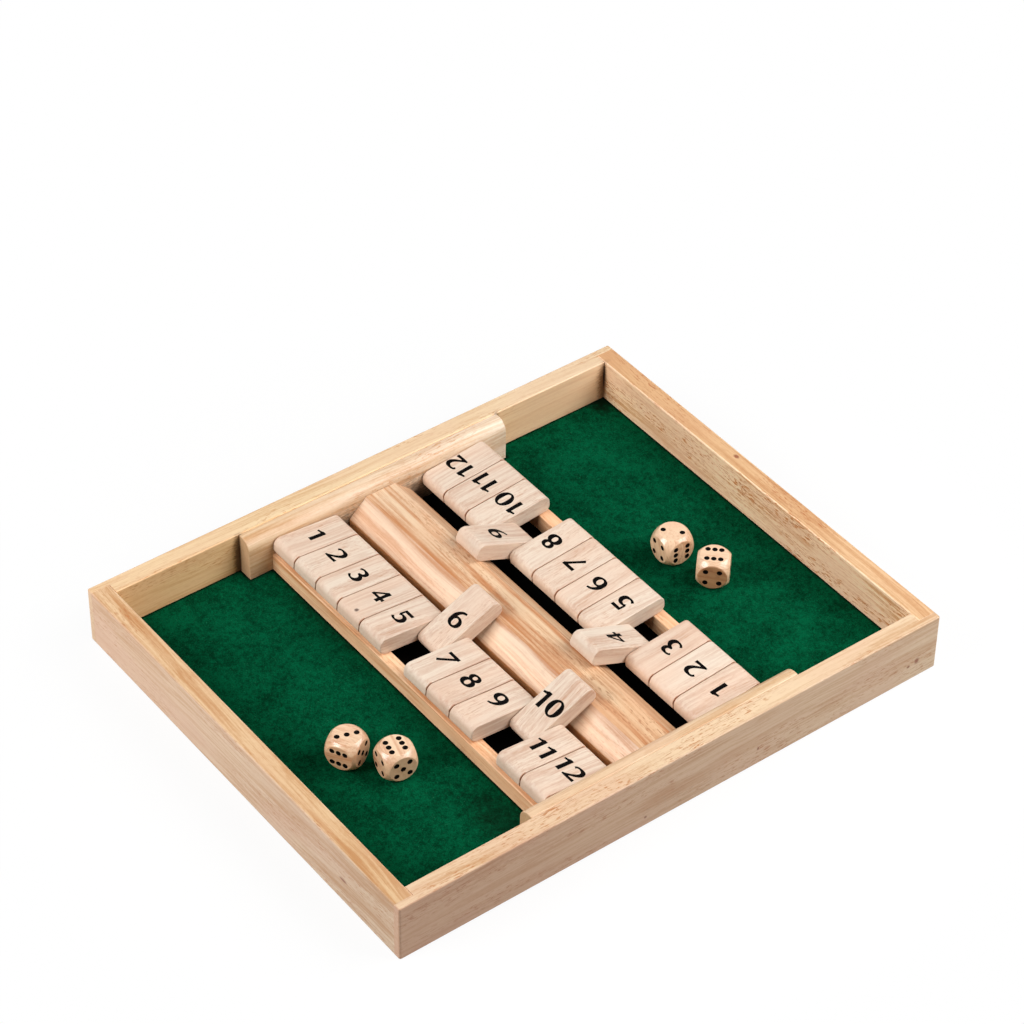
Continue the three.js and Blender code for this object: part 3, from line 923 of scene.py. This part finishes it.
def end_wall(sign, name, node):
    """End wall seen from above, with a tongue at each end that covers the side walls. It is drawn for the
    right end and turned half round for the left one."""
    seam = SEAM_SHARE
    corners = [
        [INNER_X, -INNER_Y, 0.0, seam],
        [SHOULDER_X, -INNER_Y, 0.0, seam],
        [SHOULDER_X, -OUTER_Y, 0.0, 1.0],
        [OUTER_X, -OUTER_Y, WALL_CORNER_RADIUS, 1.0],
        [OUTER_X, OUTER_Y, WALL_CORNER_RADIUS, 1.0],
        [SHOULDER_X, OUTER_Y, 0.0, seam],
        [SHOULDER_X, INNER_Y, 0.0, seam],
        [INNER_X, INNER_Y, 0.0, 1.0],
    ]
    placing = (Z * WALL_TOP / 2, np.stack([sign * X, sign * Y, Z]))
    skin = bar(corners, WALL_TOP, WALL_ARRIS, placing)
    lie = lie_along(Y, X, middle_of(node), WALL_SLOPE)
    skin.piece(name, "tray", node, "wall_wood", [WALL_WOOD], lie, wall_shades(node))


def side_wall(sign, name, node):
    """Side wall: its section carried along X between the rabbets of the end walls."""
    corners = rectangle([-OUTER_Y, 0.0], [-INNER_Y, WALL_TOP], WALL_ARRIS)
    placing = (np.zeros(3), np.stack([-sign * Y, Z, -sign * X]))
    skin = bar(corners, 2 * SHOULDER_X, SEAM_ARRIS, placing)
    lie = lie_along(X, Y, middle_of(node), WALL_SLOPE)
    skin.piece(name, "tray", node, "wall_wood", [WALL_WOOD], lie, wall_shades(node))


def floor_panel():
    """The floor panel as it shows between the walls."""
    low, high = corners_of("floor_panel")
    corners = rectangle([-INNER_X, -INNER_Y], [INNER_X, INNER_Y])
    placing = (Z * (low[2] + high[2]) / 2, np.eye(3))
    skin = bar(corners, high[2] - low[2], PANEL_ARRIS, placing)
    lie = lie_along(X, Z, np.zeros(3), PANEL_SLOPE)
    skin.piece("tray_floor", "tray", "floor_panel", "floor_panel", [panel_ply()], lie)


def bearer_block(sign, name, node):
    """Bearer block: its section in X and Z carried along Y, with the top inner edge rounded over."""
    low, high = corners_of("bearer_block_right")
    corners = [
        [-high[0], low[2], 0.0, 1.0],
        [-low[0], low[2], 0.0, 1.0],
        [-low[0], high[2], BLOCK_ROUNDING, 1.0],
        [-high[0], high[2], BLOCK_SEAM_RADIUS, 1.0],
    ]
    placing = (np.zeros(3), np.stack([-sign * X, Z, sign * Y]))
    skin = bar(corners, high[1] - low[1], BLOCK_ARRIS, placing)
    lie = lie_along(Y, X, middle_of(node), WALL_SLOPE)

    def shades(points):
        along = blended(BLOCK_TONES_AND_PAINTED_HIGHLIGHT[node], points, node, 1)
        return shaded(np.abs(points[:, 1]) > high[1] - WELD, BLOCK_END_PAINTED_SHADE, along)

    skin.piece(name, "tray", node, "wall_wood", [WALL_WOOD], lie, shades)


def centre_board():
    """Board between the rows: a section with sloping shoulders carried along X."""
    low, high = corners_of("centre_board")
    side = low[2] + BOARD_SIDE_HEIGHT
    top = BOARD_TOP_WIDTH / 2
    corners = [
        [low[1], low[2], 0.0, 1.0],
        [high[1], low[2], 0.0, 1.0],
        [high[1], side, BOARD_EDGE_RADIUS, 1.0],
        [top, high[2], BOARD_EDGE_RADIUS, 1.0],
        [-top, high[2], BOARD_EDGE_RADIUS, 1.0],
        [low[1], side, BOARD_EDGE_RADIUS, 1.0],
    ]
    skin = bar(corners, high[0] - low[0], BAR_END_ARRIS, ALONG_X)
    lie = lie_along(X, Z, middle_of("centre_board"), BAR_SLOPE, cast=0.0)

    def shades(points):
        upper, lower = (blended(pair, points, "centre_board", 0) for pair in SHOULDER_TONES_AND_PAINTED_LIGHT)
        shoulder = shaded(points[:, 2] < side + BOARD_EDGE_RADIUS, lower, upper)
        shoulder = shaded(points[:, 2] < side, BOARD_SIDE_PAINTED_LIGHT, shoulder)
        rest = blended(BOARD_SHADES, points, "centre_board", 0)
        return shaded(points[:, 1] > -top, rest, shoulder)

    skin.piece("shouldered_board", "tray", "centre_board", "board_wood", [BOARD_WOOD], lie, shades)


def rail(side):
    """Rail under a row of tiles: a rectangle with rounded edges carried along X."""
    node = f"rail_{side}"
    low, high = corners_of(node)
    corners = rectangle([low[1], low[2]], [high[1], high[2]], RAIL_EDGE_RADIUS)
    skin = bar(corners, high[0] - low[0], BAR_END_ARRIS, ALONG_X)
    lie = lie_along(X, Z, middle_of(node), BAR_SLOPE)

    def shades(points):
        return np.broadcast_to(RAIL_SHADE, (len(points), 4))

    skin.piece(f"tile_rest_{side}", "tray", node, "board_wood", [BOARD_WOOD], lie, shades)


# Numerals: rings are (middle x, middle y, reach x, reach y, thick, thin), and strokes are knots (x, y, width)
# of a line whose width changes along it. All are in numeral units from the baseline.

RINGS = {
    "0": [(4.75, 5.35, 3.3, 4.85, 2.9, 0.85)],
    "6": [(5.15, 3.15, 3.15, 2.75, 2.5, 0.9)],
    "8": [(5.1, 8.2, 2.6, 2.05, 2.35, 1.05), (5.05, 3.3, 3.05, 2.6, 2.85, 1.05)],
    "9": [(5.0, 7.65, 3.15, 2.65, 2.6, 1.1)],
}
STROKES = {
    "1": [
        [(4.75, 10.2, 2.3), (4.8, 5.0, 2.25), (4.7, 0.15, 2.5)],
        [(0.7, 8.4, 0.9), (2.6, 8.75, 1.15), (4.4, 9.2, 1.9)],
    ],
    "2": [
        [
            (1.35, 8.2, 1.3), (2.1, 9.25, 1.15), (4.0, 9.75, 1.0), (6.9, 9.1, 2.1),
            (7.75, 7.3, 2.5), (6.8, 5.2, 1.85), (4.6, 3.1, 1.3), (1.7, 0.9, 1.1),
        ],
        [(0.5, 0.7, 0.7), (2.2, 0.9, 1.35), (5.5, 0.9, 1.35), (8.8, 1.1, 1.6)],
    ],
    "3": [
        [
            (1.3, 8.9, 1.2), (2.2, 9.75, 1.0), (4.2, 10.05, 1.0), (6.6, 9.3, 2.0), (7.1, 7.9, 2.2),
            (6.0, 6.4, 1.5), (3.6, 5.95, 0.8),
        ],
        [
            (3.8, 5.95, 0.8), (6.2, 5.35, 1.7), (7.6, 3.3, 2.8), (6.6, 1.25, 2.2), (4.4, 0.55, 1.0),
            (2.5, 0.9, 0.95), (1.1, 2.0, 1.2),
        ],
    ],
    "4": [
        [(6.95, 10.3, 2.3), (6.85, 5.0, 1.85), (6.9, 0.2, 2.3)],
        [(6.6, 9.9, 1.2), (1.2, 3.6, 1.0)],
        [(0.6, 3.4, 1.5), (4.5, 3.4, 1.25), (9.7, 3.45, 1.7)],
    ],
    "5": [
        [(2.2, 9.3, 1.55), (8.7, 9.3, 1.65)],
        [(2.75, 9.6, 1.0), (2.5, 5.5, 1.1)],
        [
            (2.3, 5.3, 1.2), (4.3, 5.95, 1.05), (6.7, 5.2, 2.0), (7.7, 3.3, 2.7), (6.8, 1.35, 2.2),
            (4.4, 0.55, 1.0), (2.6, 0.75, 1.1), (1.1, 1.7, 1.4),
        ],
    ],
    "6": [
        [
            (2.0, 3.0, 2.5), (2.1, 5.6, 2.5), (3.0, 7.7, 1.9), (4.9, 9.4, 1.25), (7.5, 10.1, 0.85),
        ],
    ],
    "7": [
        [(0.9, 9.35, 1.65), (9.3, 9.35, 1.65)],
        [(8.4, 9.5, 1.6), (5.0, 5.0, 1.45), (1.4, 0.3, 1.6)],
    ],
    "9": [
        [
            (8.15, 7.7, 2.6), (8.05, 5.3, 2.5), (7.1, 3.1, 2.0), (5.3, 1.4, 1.3), (2.9, 0.5, 0.85),
        ],
    ],
}


def line_through(knots):
    """A smooth line through the knots by uniform Catmull-Rom spans, with the end spans reflected."""
    knots = np.array(knots)
    first = 2 * knots[:1] - knots[1:2]
    last = 2 * knots[-1:] - knots[-2:-1]
    padded = np.concatenate([first, knots, last])
    a, b, c, d = padded[:-3, None], padded[1:-2, None], padded[2:-1, None], padded[3:, None]
    t = np.linspace(0, 1, STROKE_STEPS, endpoint=False)[None, :, None]
    curve = b + 0.5 * t * (c - a + t * (2 * a - 5 * b + 4 * c - d + t * (3 * (b - c) + d - a)))
    return np.concatenate([curve.reshape(-1, knots.shape[1]), knots[-1:]])


def stroke_quads(knots):
    """Quads that cover a stroke: the line moved to each side by half its width and spread."""
    line = line_through(knots)
    along = unit(np.gradient(line[:, :2], axis=0))
    half = np.stack([-along[:, 1], along[:, 0]], axis=1) * (line[:, 2:] + NUMERAL_SPREAD) / 2
    left, right = line[:, :2] + half, line[:, :2] - half
    return np.stack([right[:-1], right[1:], left[1:], left[:-1]], axis=1)


def ring_quads(middle_x, middle_y, reach_x, reach_y, thick, thin):
    """Quads that cover a ring whose width goes from thick at its sides to thin at its top and bottom, as the
    square of the cosine."""
    turn = np.linspace(0, 2 * math.pi, RING_STEPS + 1)
    spoke = np.stack([np.cos(turn), np.sin(turn)], axis=1)
    width = (NUMERAL_SPREAD + thin + (thick - thin) * spoke[:, :1] ** 2) / 2
    middle, reach = np.array([middle_x, middle_y]), np.array([reach_x, reach_y])
    outer, inner = middle + spoke * (reach + width), middle + spoke * (reach - width)
    return np.stack([outer[:-1], outer[1:], inner[1:], inner[:-1]], axis=1)


def numeral_quads(numeral):
    rings = [ring_quads(*ring) for ring in RINGS.get(numeral, [])]
    strokes = [stroke_quads(knots) for knots in STROKES.get(numeral, [])]
    return np.concatenate(rings + strokes) * NUMERAL_UNIT


def number_quads(number):
    """Quads of a whole number, centred sideways over its baseline."""
    placed = []
    right = -NUMERAL_GAP
    for numeral in str(number):
        quads = numeral_quads(numeral)
        quads = quads + [right + NUMERAL_GAP - quads[..., 0].min(), 0.0]
        right = quads[..., 0].max()
        placed.append(quads)
    return np.concatenate(placed) - [right / 2, 0.0]


# Number tiles. Each number was put on by hand: how far to the reader's right of the middle it is, and how
# far its baseline is from the rod on the face that shows, both in numeral units. Some tiles lie shut, and
# some are of paler wood.

SIDEWAYS = {
    "front": [-0.9, -0.8, -0.8, -0.8, -0.8, 0.7, -0.4, -0.8, -1.4, -0.1, -0.4, -0.3],
    "back": [-1.0, -0.9, -0.9, -0.6, 0.6, 0.3, 0.7, 1.3, 0.4, 0.6, 0.9, 0.8],
}
BASELINES = {
    "front": [17.0, 17.0, 17.0, 16.8, 17.0, 6.5, 17.0, 17.0, 14.2, 6.5, 17.0, 14.7],
    "back": [17.9, 17.3, 18.0, 6.2, 18.4, 16.6, 17.4, 18.1, 7.3, 18.3, 18.1, 15.2],
}
SHUT = {"front": [6, 10], "back": [4, 9]}
PALER = {"front": [3, 7], "back": [2, 4]}
PALER_CAST = 1.0
FACING = {"front": -1.0, "back": 1.0}
HINGES = {joint["child"]: joint for joint in frame["joints"] if joint["type"] == "hinge"}


def tile_place(node, side):
    """Where a tile's rod crosses its middle, its axes (along the rod, towards its long end, and up out of its
    upper face), and its lowest and highest corner along them."""
    rod = np.array(HINGES[node]["pos_m"])
    points = points_of(node)
    reach = unit((points.mean(axis=0) - rod) * [0.0, 1.0, 1.0])
    width = FACING[side] * X
    axes = np.stack([width, reach, np.cross(width, reach)])
    local = (points - rod) @ axes.T
    return rod, axes, local.min(axis=0), local.max(axis=0)


def inked_face(skin, low, high, height, number, baseline, sideways, placing):
    """A flat face of a tile with its number cut in as ink. On the upper face the number's head is towards
    the rod. On the lower face it is towards the long end, so that it is upright once the tile is turned."""
    step = 1 if height > 0 else -1
    quads = number_quads(number)
    room = high[0] - INK_MARGIN - quads[..., 0].max()
    sideways = min(max(sideways, -room), room)
    quads = quads * [-1.0, -step] + [-sideways, baseline]
    boundary = np.array(rectangle(low, high))[:, :2]
    places, triangles, inked = cut(boundary, list(quads[:, ::step]))
    points = raised(places, height)
    skin.add(points, triangles[~inked][:, ::step], step * Z, placing)
    skin.add(points, triangles[inked][:, ::step], step * Z, placing, finish=1)


def tile_ends(skin, corners, width, section):
    """The flat ends of a tile, which the bore goes through, and the bore's wall."""
    bore = circle(BORE_DIAMETER / 2, BORE_SIDES)
    # The band inside the rim of each flat end carries the painted shade of the gap to the neighbour
    border = np.stack([outline(corners, TILE_ARRIS), outline(corners, TILE_ARRIS + TILE_GAP_SHADE_BAND)])
    places, triangles, inside = cut(border[1], [bore])
    rim = ring_of_quads(2, border.shape[1])
    for end in (-1, 1):
        skin.add(raised(places, end * width / 2), triangles[~inside][:, ::end], end * Z, section)
        skin.add(raised(border, end * width / 2), rim[:, ::end], end * Z, section)
    tube = np.stack([raised(bore, end) for end in (-width / 2, width / 2)])
    walls = ring_of_quads(2, BORE_SIDES)[:, ::-1]
    skin.add(tube, walls, raised(-bore, 0.0)[walls % BORE_SIDES], section)


def tile_shades(side, number, rod, axes, low, high):
    """Gives the shade at each point of a tile. An open tile beside an open neighbour gets painted shade along
    the rims of its flat ends, where the gap between them is, and in the groove at its rounded ends, but none
    beside a shut tile."""
    middle, half = (low[1:] + high[1:]) / 2, (high[1:] - low[1:]) / 2
    width = high[0] - low[0]

    def shades(points):
        local = (points - rod) @ axes.T
        out = np.abs(local[:, 1:] - middle) - half + TILE_END_RADIUS
        inset = TILE_END_RADIUS - np.linalg.norm(np.maximum(out, 0), axis=1) - np.minimum(out.max(axis=1), 0)
        neighbour = np.where(local[:, 0] > 0, number - 1, number + 1)
        beside = ~np.isin(neighbour, SHUT[side]) & (number not in SHUT[side])
        past = np.abs(local[:, 0]) - width / 2 + TILE_ARRIS
        gap_shaded = beside & (past > TILE_ARRIS - WELD) & (inset < TILE_ARRIS + TILE_GAP_SHADE_BAND / 2)
        wear_and_groove_shade = beside & (past > TILE_GROOVE_SHARE * TILE_ARRIS) & (out.min(axis=1) > 0)
        return shaded(gap_shaded, TILE_GAP_PAINTED_SHADE, shaded(wear_and_groove_shade, TILE_GROOVE_PAINTED_SHADE, PLAIN_SHADE))

    return shades


def number_tile(side, number):
    """A tile: its long section carried along the rod, with flat ends that the bore goes through and its
    number on both faces."""
    node = f"tile_{side}_{number}"
    rod, axes, low, high = tile_place(node, side)
    placing = (rod, axes)
    section = (rod, np.stack([axes[1], axes[2], axes[0]]))
    low[0] += TILE_SLACK
    high[0] -= TILE_SLACK
    corners = np.array(rectangle(low[1:], high[1:], TILE_END_RADIUS))
    points, quads, normals = bar_sides(corners, high[0] - low[0], TILE_ARRIS)
    # The quads of the two flat faces are left out, because the inked faces take their place
    long_edges = np.flatnonzero(corner_turns(corners)[2])[[0, 2]]
    faces = RIM_STEPS * points.shape[1] + long_edges
    kept = np.setdiff1d(np.arange(len(quads)), faces)
    skin = Skin()
    skin.add(points, quads[kept], normals[kept], section)
    face_low = low[:2] + [TILE_ARRIS, TILE_END_RADIUS]
    face_high = high[:2] - [TILE_ARRIS, TILE_END_RADIUS]
    shut = number in SHUT[side]
    sideways = SIDEWAYS[side][number - 1] * NUMERAL_UNIT
    shown = BASELINES[side][number - 1] * NUMERAL_UNIT
    upper = BASELINE_TOWARDS_END if shut else shown
    lower = shown if shut else BASELINE_TOWARDS_ROD
    inked_face(skin, face_low, face_high, high[2], number, upper, sideways, placing)
    inked_face(skin, face_low, face_high, low[2], number, lower, sideways, placing)
    tile_ends(skin, corners, high[0] - low[0], section)
    cast = PALER_CAST if number in PALER[side] else None
    lie = lie_along(axes[1], axes[2], rod, TILE_SLOPE, cast)
    shades = tile_shades(side, number, rod, axes, low, high)
    finishes = [TILE_WOOD, NUMBER_INK]
    skin.piece(f"number_{side}_{number}", node, node, "tile_wood", finishes, lie, shades)


# Dice

# Each face's value with its normal and the way its rows of pips run
DIE_FACES = {1: (X, Y), 2: (Y, X), 3: (Z, Y), 4: (-Z, Y), 5: (-Y, X), 6: (-X, Y)}
PIP_SHARES = {
    1: [(0, 0)],
    2: [(1, 1), (-1, -1)],
    3: [(1, 1), (0, 0), (-1, -1)],
    4: [(1, 1), (1, -1), (-1, 1), (-1, -1)],
    5: [(1, 1), (1, -1), (0, 0), (-1, 1), (-1, -1)],
    6: [(1, 1), (0, 1), (-1, 1), (1, -1), (0, -1), (-1, -1)],
}

# Each die's value on top, its value on the side, its turn in degrees and the cast of its wood
THROWN = {
    "die_front_1": (3, 5, 26.4, -0.3),
    "die_front_2": (6, 5, -9.5, 0.9),
    "die_back_1": (2, 6, -4.7, 1.6),
    "die_back_2": (6, 5, 45.7, 0.9),
}

# The value of the face of one die that shows darker wood
DARK_FACES = {"die_back_2": 4}
DARK_FACE_SHADE = (0.62, 0.46, 0.36, 1.0)


def pip_cup(skin, centre, height, placing):
    """A pip: a half ellipsoid sunk in the face. At turn t its radius is the pip's times cos t and its depth
    is the pip's times sin t."""
    turns = np.linspace(0, math.pi / 2, PIP_ROWS + 1)[:-1]
    around = circle(1.0, PIP_SIDES)
    radius = PIP_DIAMETER / 2
    cosine, sine = np.cos(turns)[:, None, None], np.sin(turns)[:, None, None]
    points = raised(np.array(centre) + radius * cosine * around, height - PIP_DEPTH * sine)
    normals = raised(-PIP_DEPTH * cosine * around, radius * sine).reshape(-1, 3)
    quads = ring_of_quads(PIP_ROWS, PIP_SIDES)
    skin.add(points, quads, normals[quads], placing, finish=1)
    last = (PIP_ROWS - 1) * PIP_SIDES + np.arange(PIP_SIDES)
    skin.add(points, last[None], normals[last][None], placing, finish=1)


def die_round(half, radius):
    """The surface round one flat face: a rim arc that starts level at the face and meets the ball, and then
    rows on the ball out to the planes halfway to the next faces. Gives rows of points and their normals."""
    around = circle(1.0, DIE_COLUMNS)
    rim_reach = math.sqrt((radius - DIE_RIM_RADIUS) ** 2 - (half - DIE_RIM_RADIUS) ** 2)
    meeting = math.atan2(rim_reach, half - DIE_RIM_RADIUS)
    arc = np.linspace(0, meeting, DIE_RIM_STEPS + 1)[:, None]
    rim_normals = raised(np.sin(arc)[..., None] * around, np.cos(arc)[..., None])
    rim = raised(rim_reach * around, half - DIE_RIM_RADIUS) + DIE_RIM_RADIUS * rim_normals
    edge = 1 / np.abs(around).max(axis=1)
    share = np.linspace(0, 1, DIE_ROWS + 1)[1:, None]
    slope = math.tan(meeting) * (1 - share) + edge * share
    rays = unit(raised(slope[..., None] * around, 1.0))
    return np.concatenate([rim, radius * rays]), np.concatenate([rim_normals, rays])


def thrown_die(node):
    """A die: a cube whose corners and edges are turned down to a ball, with a pip cup for each pip."""
    low, high = corners_of(node)
    half = (high[2] - low[2]) / 2
    radius = half * math.sqrt(3) - DIE_CORNER_CUT
    up_value, side_value, degrees, cast = THROWN[node]
    up, side = DIE_FACES[up_value][0], DIE_FACES[side_value][0]
    heading = np.array(Euler((0, 0, math.radians(degrees))).to_matrix())
    turn = heading @ np.stack([side, np.cross(up, side), up])
    points, normals = die_round(half, radius)
    quads = ring_of_quads(len(points), DIE_COLUMNS)[:, ::-1]
    skin = Skin()
    for value, (out, along) in DIE_FACES.items():
        placing = ((low + high) / 2, np.stack([along, np.cross(out, along), out]) @ turn.T)
        skin.add(points, quads, normals.reshape(-1, 3)[quads], placing)
        centres = PIP_SPACING * np.array(PIP_SHARES[value], dtype=float)
        pips = [circle(PIP_DIAMETER / 2, PIP_SIDES, centre) for centre in centres]
        places, triangles, inside = cut(points[0, :, :2], pips)
        skin.add(raised(places, half), triangles[~inside], Z, placing)
        for centre in centres:
            pip_cup(skin, centre, half, placing)
    lie = lie_along(turn[:, 1], turn[:, 2], (low + high) / 2, DIE_SLOPE, cast)

    def shades(points):
        out = turn @ DIE_FACES[DARK_FACES[node]][0] if node in DARK_FACES else np.zeros(3)
        dark = (points - (low + high) / 2) @ out > half - DIE_RIM_RADIUS / 2
        return shaded(dark, DARK_FACE_SHADE, PLAIN_SHADE)

    skin.piece(f"wooden_{node}", node, node, "die_wood", [DIE_WOOD, PIP_PAINT], lie, shades)


# Felt

def stepped(stops):
    """Numbers from the first stop to the last, about a felt thread apart, that include every stop."""
    parts = [
        np.linspace(start, end, math.ceil((end - start) / FELT_THREAD) + 1)[:-1]
        for start, end in zip(stops[:-1], stops[1:])
    ]
    return np.concatenate([*parts, stops[-1:]])


def felt_wave(x, y):
    """The sum of a few long waves. Each is the cosine of a phase plus a whole turn for each length that the
    place is along its heading."""
    headings, lengths, phases = (rng.uniform(*limits, FELT_WAVES) for limits in WAVE_LIMITS)
    return sum(
        np.cos(2 * math.pi * (x * math.cos(heading) + y * math.sin(heading)) / length + phase)
        for heading, length, phase in zip(headings, lengths, phases)
    )


def felt_sheet(side, felt):
    """Felt in one throwing space: a sheet over its rectangle less the corners where the bearer blocks stand.
    Its height is the felt's top plus a few long low waves."""
    node = f"felt_{side}"
    low, high = corners_of(node)
    block_low, block_high = corners_of("bearer_block_right")
    near, far = sorted([abs(low[1]), abs(high[1])])
    rail_gap = near - corners_of("rail_back")[1][1]
    notch_x = block_low[0] - rail_gap
    notch_y = block_high[1] + rail_gap
    columns = stepped([-high[0], -notch_x, notch_x, high[0]])
    rows = stepped([near, notch_y, far])
    x, y = np.meshgrid(columns, rows)
    z = high[2] - FELT_RELIEF + FELT_RELIEF * felt_wave(x, y) / FELT_WAVES
    points = np.stack([FACING[side] * x, FACING[side] * y, z], axis=2).reshape(-1, 3)
    wide = len(columns)
    corner = (np.arange(len(rows) - 1)[:, None] * wide + np.arange(wide - 1)[None]).ravel()
    quads = np.stack([corner, corner + 1, corner + wide + 1, corner + wide], axis=1)
    centre = np.abs(points[quads].mean(axis=1))
    quads = quads[(centre[:, 0] < notch_x) | (centre[:, 1] > notch_y)]
    used, packed = np.unique(quads, return_inverse=True)
    mesh = bpy.data.meshes.new(f"felt_cloth_{side}")
    mesh.from_pydata(points[used].tolist(), [], packed.reshape(-1, 4).tolist())
    mesh.polygons.foreach_set("use_smooth", np.ones(len(quads), dtype=bool))
    # A point on the sheet's edge, where the felt gets painted shade, has fewer than four quads round it
    write_attribute(mesh, "edge", "FLOAT", "value", np.bincount(packed.ravel()) < 4)
    mesh.materials.append(felt)
    cloth = into_scene(f"felt_cloth_{side}", mesh)
    solid = cloth.modifiers.new("thickness", "SOLIDIFY")
    solid.thickness = high[2] - low[2] - 2 * FELT_RELIEF
    solid.offset = -1
    notches = 2 * (high[0] - notch_x) * (notch_y - near)
    flat = (2 * high[0], far - near)
    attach(cloth, "tray")
    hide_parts(node)
    flat[0] * flat[1] - notches


# Camera, lights and floor

CAMERA_PLACE = (1.07185, -0.82208, 1.28467)
CAMERA_TURN = (48.7040, -0.5857, 53.0702)
CAMERA_LENS = 124.25
CAMERA_SENSOR = 36.0
CAMERA_CLIP = (0.01, 100.0)
LIGHT_AIM = (0.0, 0.0, 0.0)

# Softboxes at the camera's left and right: place, width, watts and colour
LIGHTS = {
    "key": ((-0.30, -1.25, 0.95), 0.9, 21.6, (1.0, 0.985, 0.97)),
    "fill": ((0.52, 0.60, 0.74), 0.9, 13.4, (1.0, 0.985, 0.97)),
}
SKY_LEVEL = 0.05

# The floor's colour to the eye, the darker one that it throws light back with, and how much of the shadow
# on it shows beside the game and how far out that goes
FLOOR_SEEN = 0.95
FLOOR_BOUNCE = 0.36
FLOOR_REACH = 6.0
SHADOW_SHARE = 0.12
SHADOW_FULL = 0.17
SHADOW_GONE = 0.30


def place_camera():
    lens = bpy.data.cameras.new("camera")
    lens.lens = CAMERA_LENS
    lens.sensor_width = CAMERA_SENSOR
    lens.clip_start, lens.clip_end = CAMERA_CLIP
    camera = into_scene("camera", lens)
    camera.location = CAMERA_PLACE
    camera.rotation_euler = [math.radians(angle) for angle in CAMERA_TURN]
    bpy.context.scene.camera = camera


def soft_light(name, place, size, power, colour):
    """A square area light that looks at the tray."""
    light = bpy.data.lights.new(name, "AREA")
    light.size = size
    light.energy = power
    light.color = colour
    lamp = into_scene(name, light)
    lamp.location = place
    lamp.rotation_euler = (Vector(LIGHT_AIM) - Vector(place)).to_track_quat("-Z", "Y").to_euler()
    lamp.visible_camera = False


def seen_straight(finish):
    """1 for rays from the camera or off a mirror or through glass, and 0 for those that light the object."""
    path = finish.node("ShaderNodeLightPath")
    outputs = path.socket.node.outputs
    camera, gloss, through = (
        Signal(finish, outputs[name]) for name in ("Is Camera Ray", "Is Glossy Ray", "Is Transmission Ray")
    )
    return camera.maths("MAXIMUM", camera.maths("MAXIMUM", camera, gloss), through)


def white_world(strength):
    """White to the eye, and a plain grey sky to what it lights."""
    sky = Finish("studio", bpy.data.worlds)
    bpy.context.scene.world = sky.owner
    seen = seen_straight(sky)
    level = strength + seen * (1.0 - strength)
    background = sky.node("ShaderNodeBackground", None, {"Color": grey(1.0), "Strength": level})
    sky.node("ShaderNodeOutputWorld", None, {"Surface": background})


def pale_floor():
    """White floor that keeps a share of the object's shadow, less of it farther out."""
    finish = Finish("pale_floor")
    seen = seen_straight(finish)
    colour = finish.mix(seen, grey(FLOOR_BOUNCE), grey(FLOOR_SEEN))
    lit = finish.node("ShaderNodeBsdfDiffuse", None, {"Color": colour})
    white = finish.node("ShaderNodeEmission", None, {"Color": grey(1.0), "Strength": 1.0})
    away = finish.length(finish.place())
    kept = SHADOW_SHARE - SHADOW_SHARE * away.rise(SHADOW_FULL, SHADOW_GONE)
    shown = finish.node("ShaderNodeMixShader", None, {0: seen * (1.0 - kept), 1: lit, 2: white})
    finish.node("ShaderNodeOutputMaterial", None, {"Surface": shown})
    square = np.array(rectangle([-FLOOR_REACH] * 2, [FLOOR_REACH] * 2))[:, :2]
    mesh = bpy.data.meshes.new("pale_floor")
    mesh.from_pydata(raised(square, 0.0).tolist(), [], [(0, 1, 2, 3)])
    mesh.materials.append(finish.owner)
    floor = into_scene("pale_floor", mesh)


# The whole game

bpy.context.scene.view_settings.view_transform = "Standard"
place_camera()
for light, setting in LIGHTS.items():
    soft_light(light, *setting)
white_world(SKY_LEVEL)
pale_floor()

end_wall(1.0, "wall_right", "end_wall_right")
end_wall(-1.0, "wall_left", "end_wall_left")
side_wall(1.0, "wall_back", "side_wall_back")
side_wall(-1.0, "wall_front", "side_wall_front")
floor_panel()
bearer_block(1.0, "rod_bearer_right", "bearer_block_right")
bearer_block(-1.0, "rod_bearer_left", "bearer_block_left")
centre_board()
steel = drawn_steel()
felt = green_felt()
for side in ("front", "back"):
    rail(side)
    felt_sheet(side, felt)
    for number in range(1, TILES_IN_ROW + 1):
        number_tile(side, number)
    rod = frame["nodes"][f"rod_{side}"]
    rod.data.materials.clear()
    rod.data.materials.append(steel)
for die in THROWN:
    thrown_die(die)
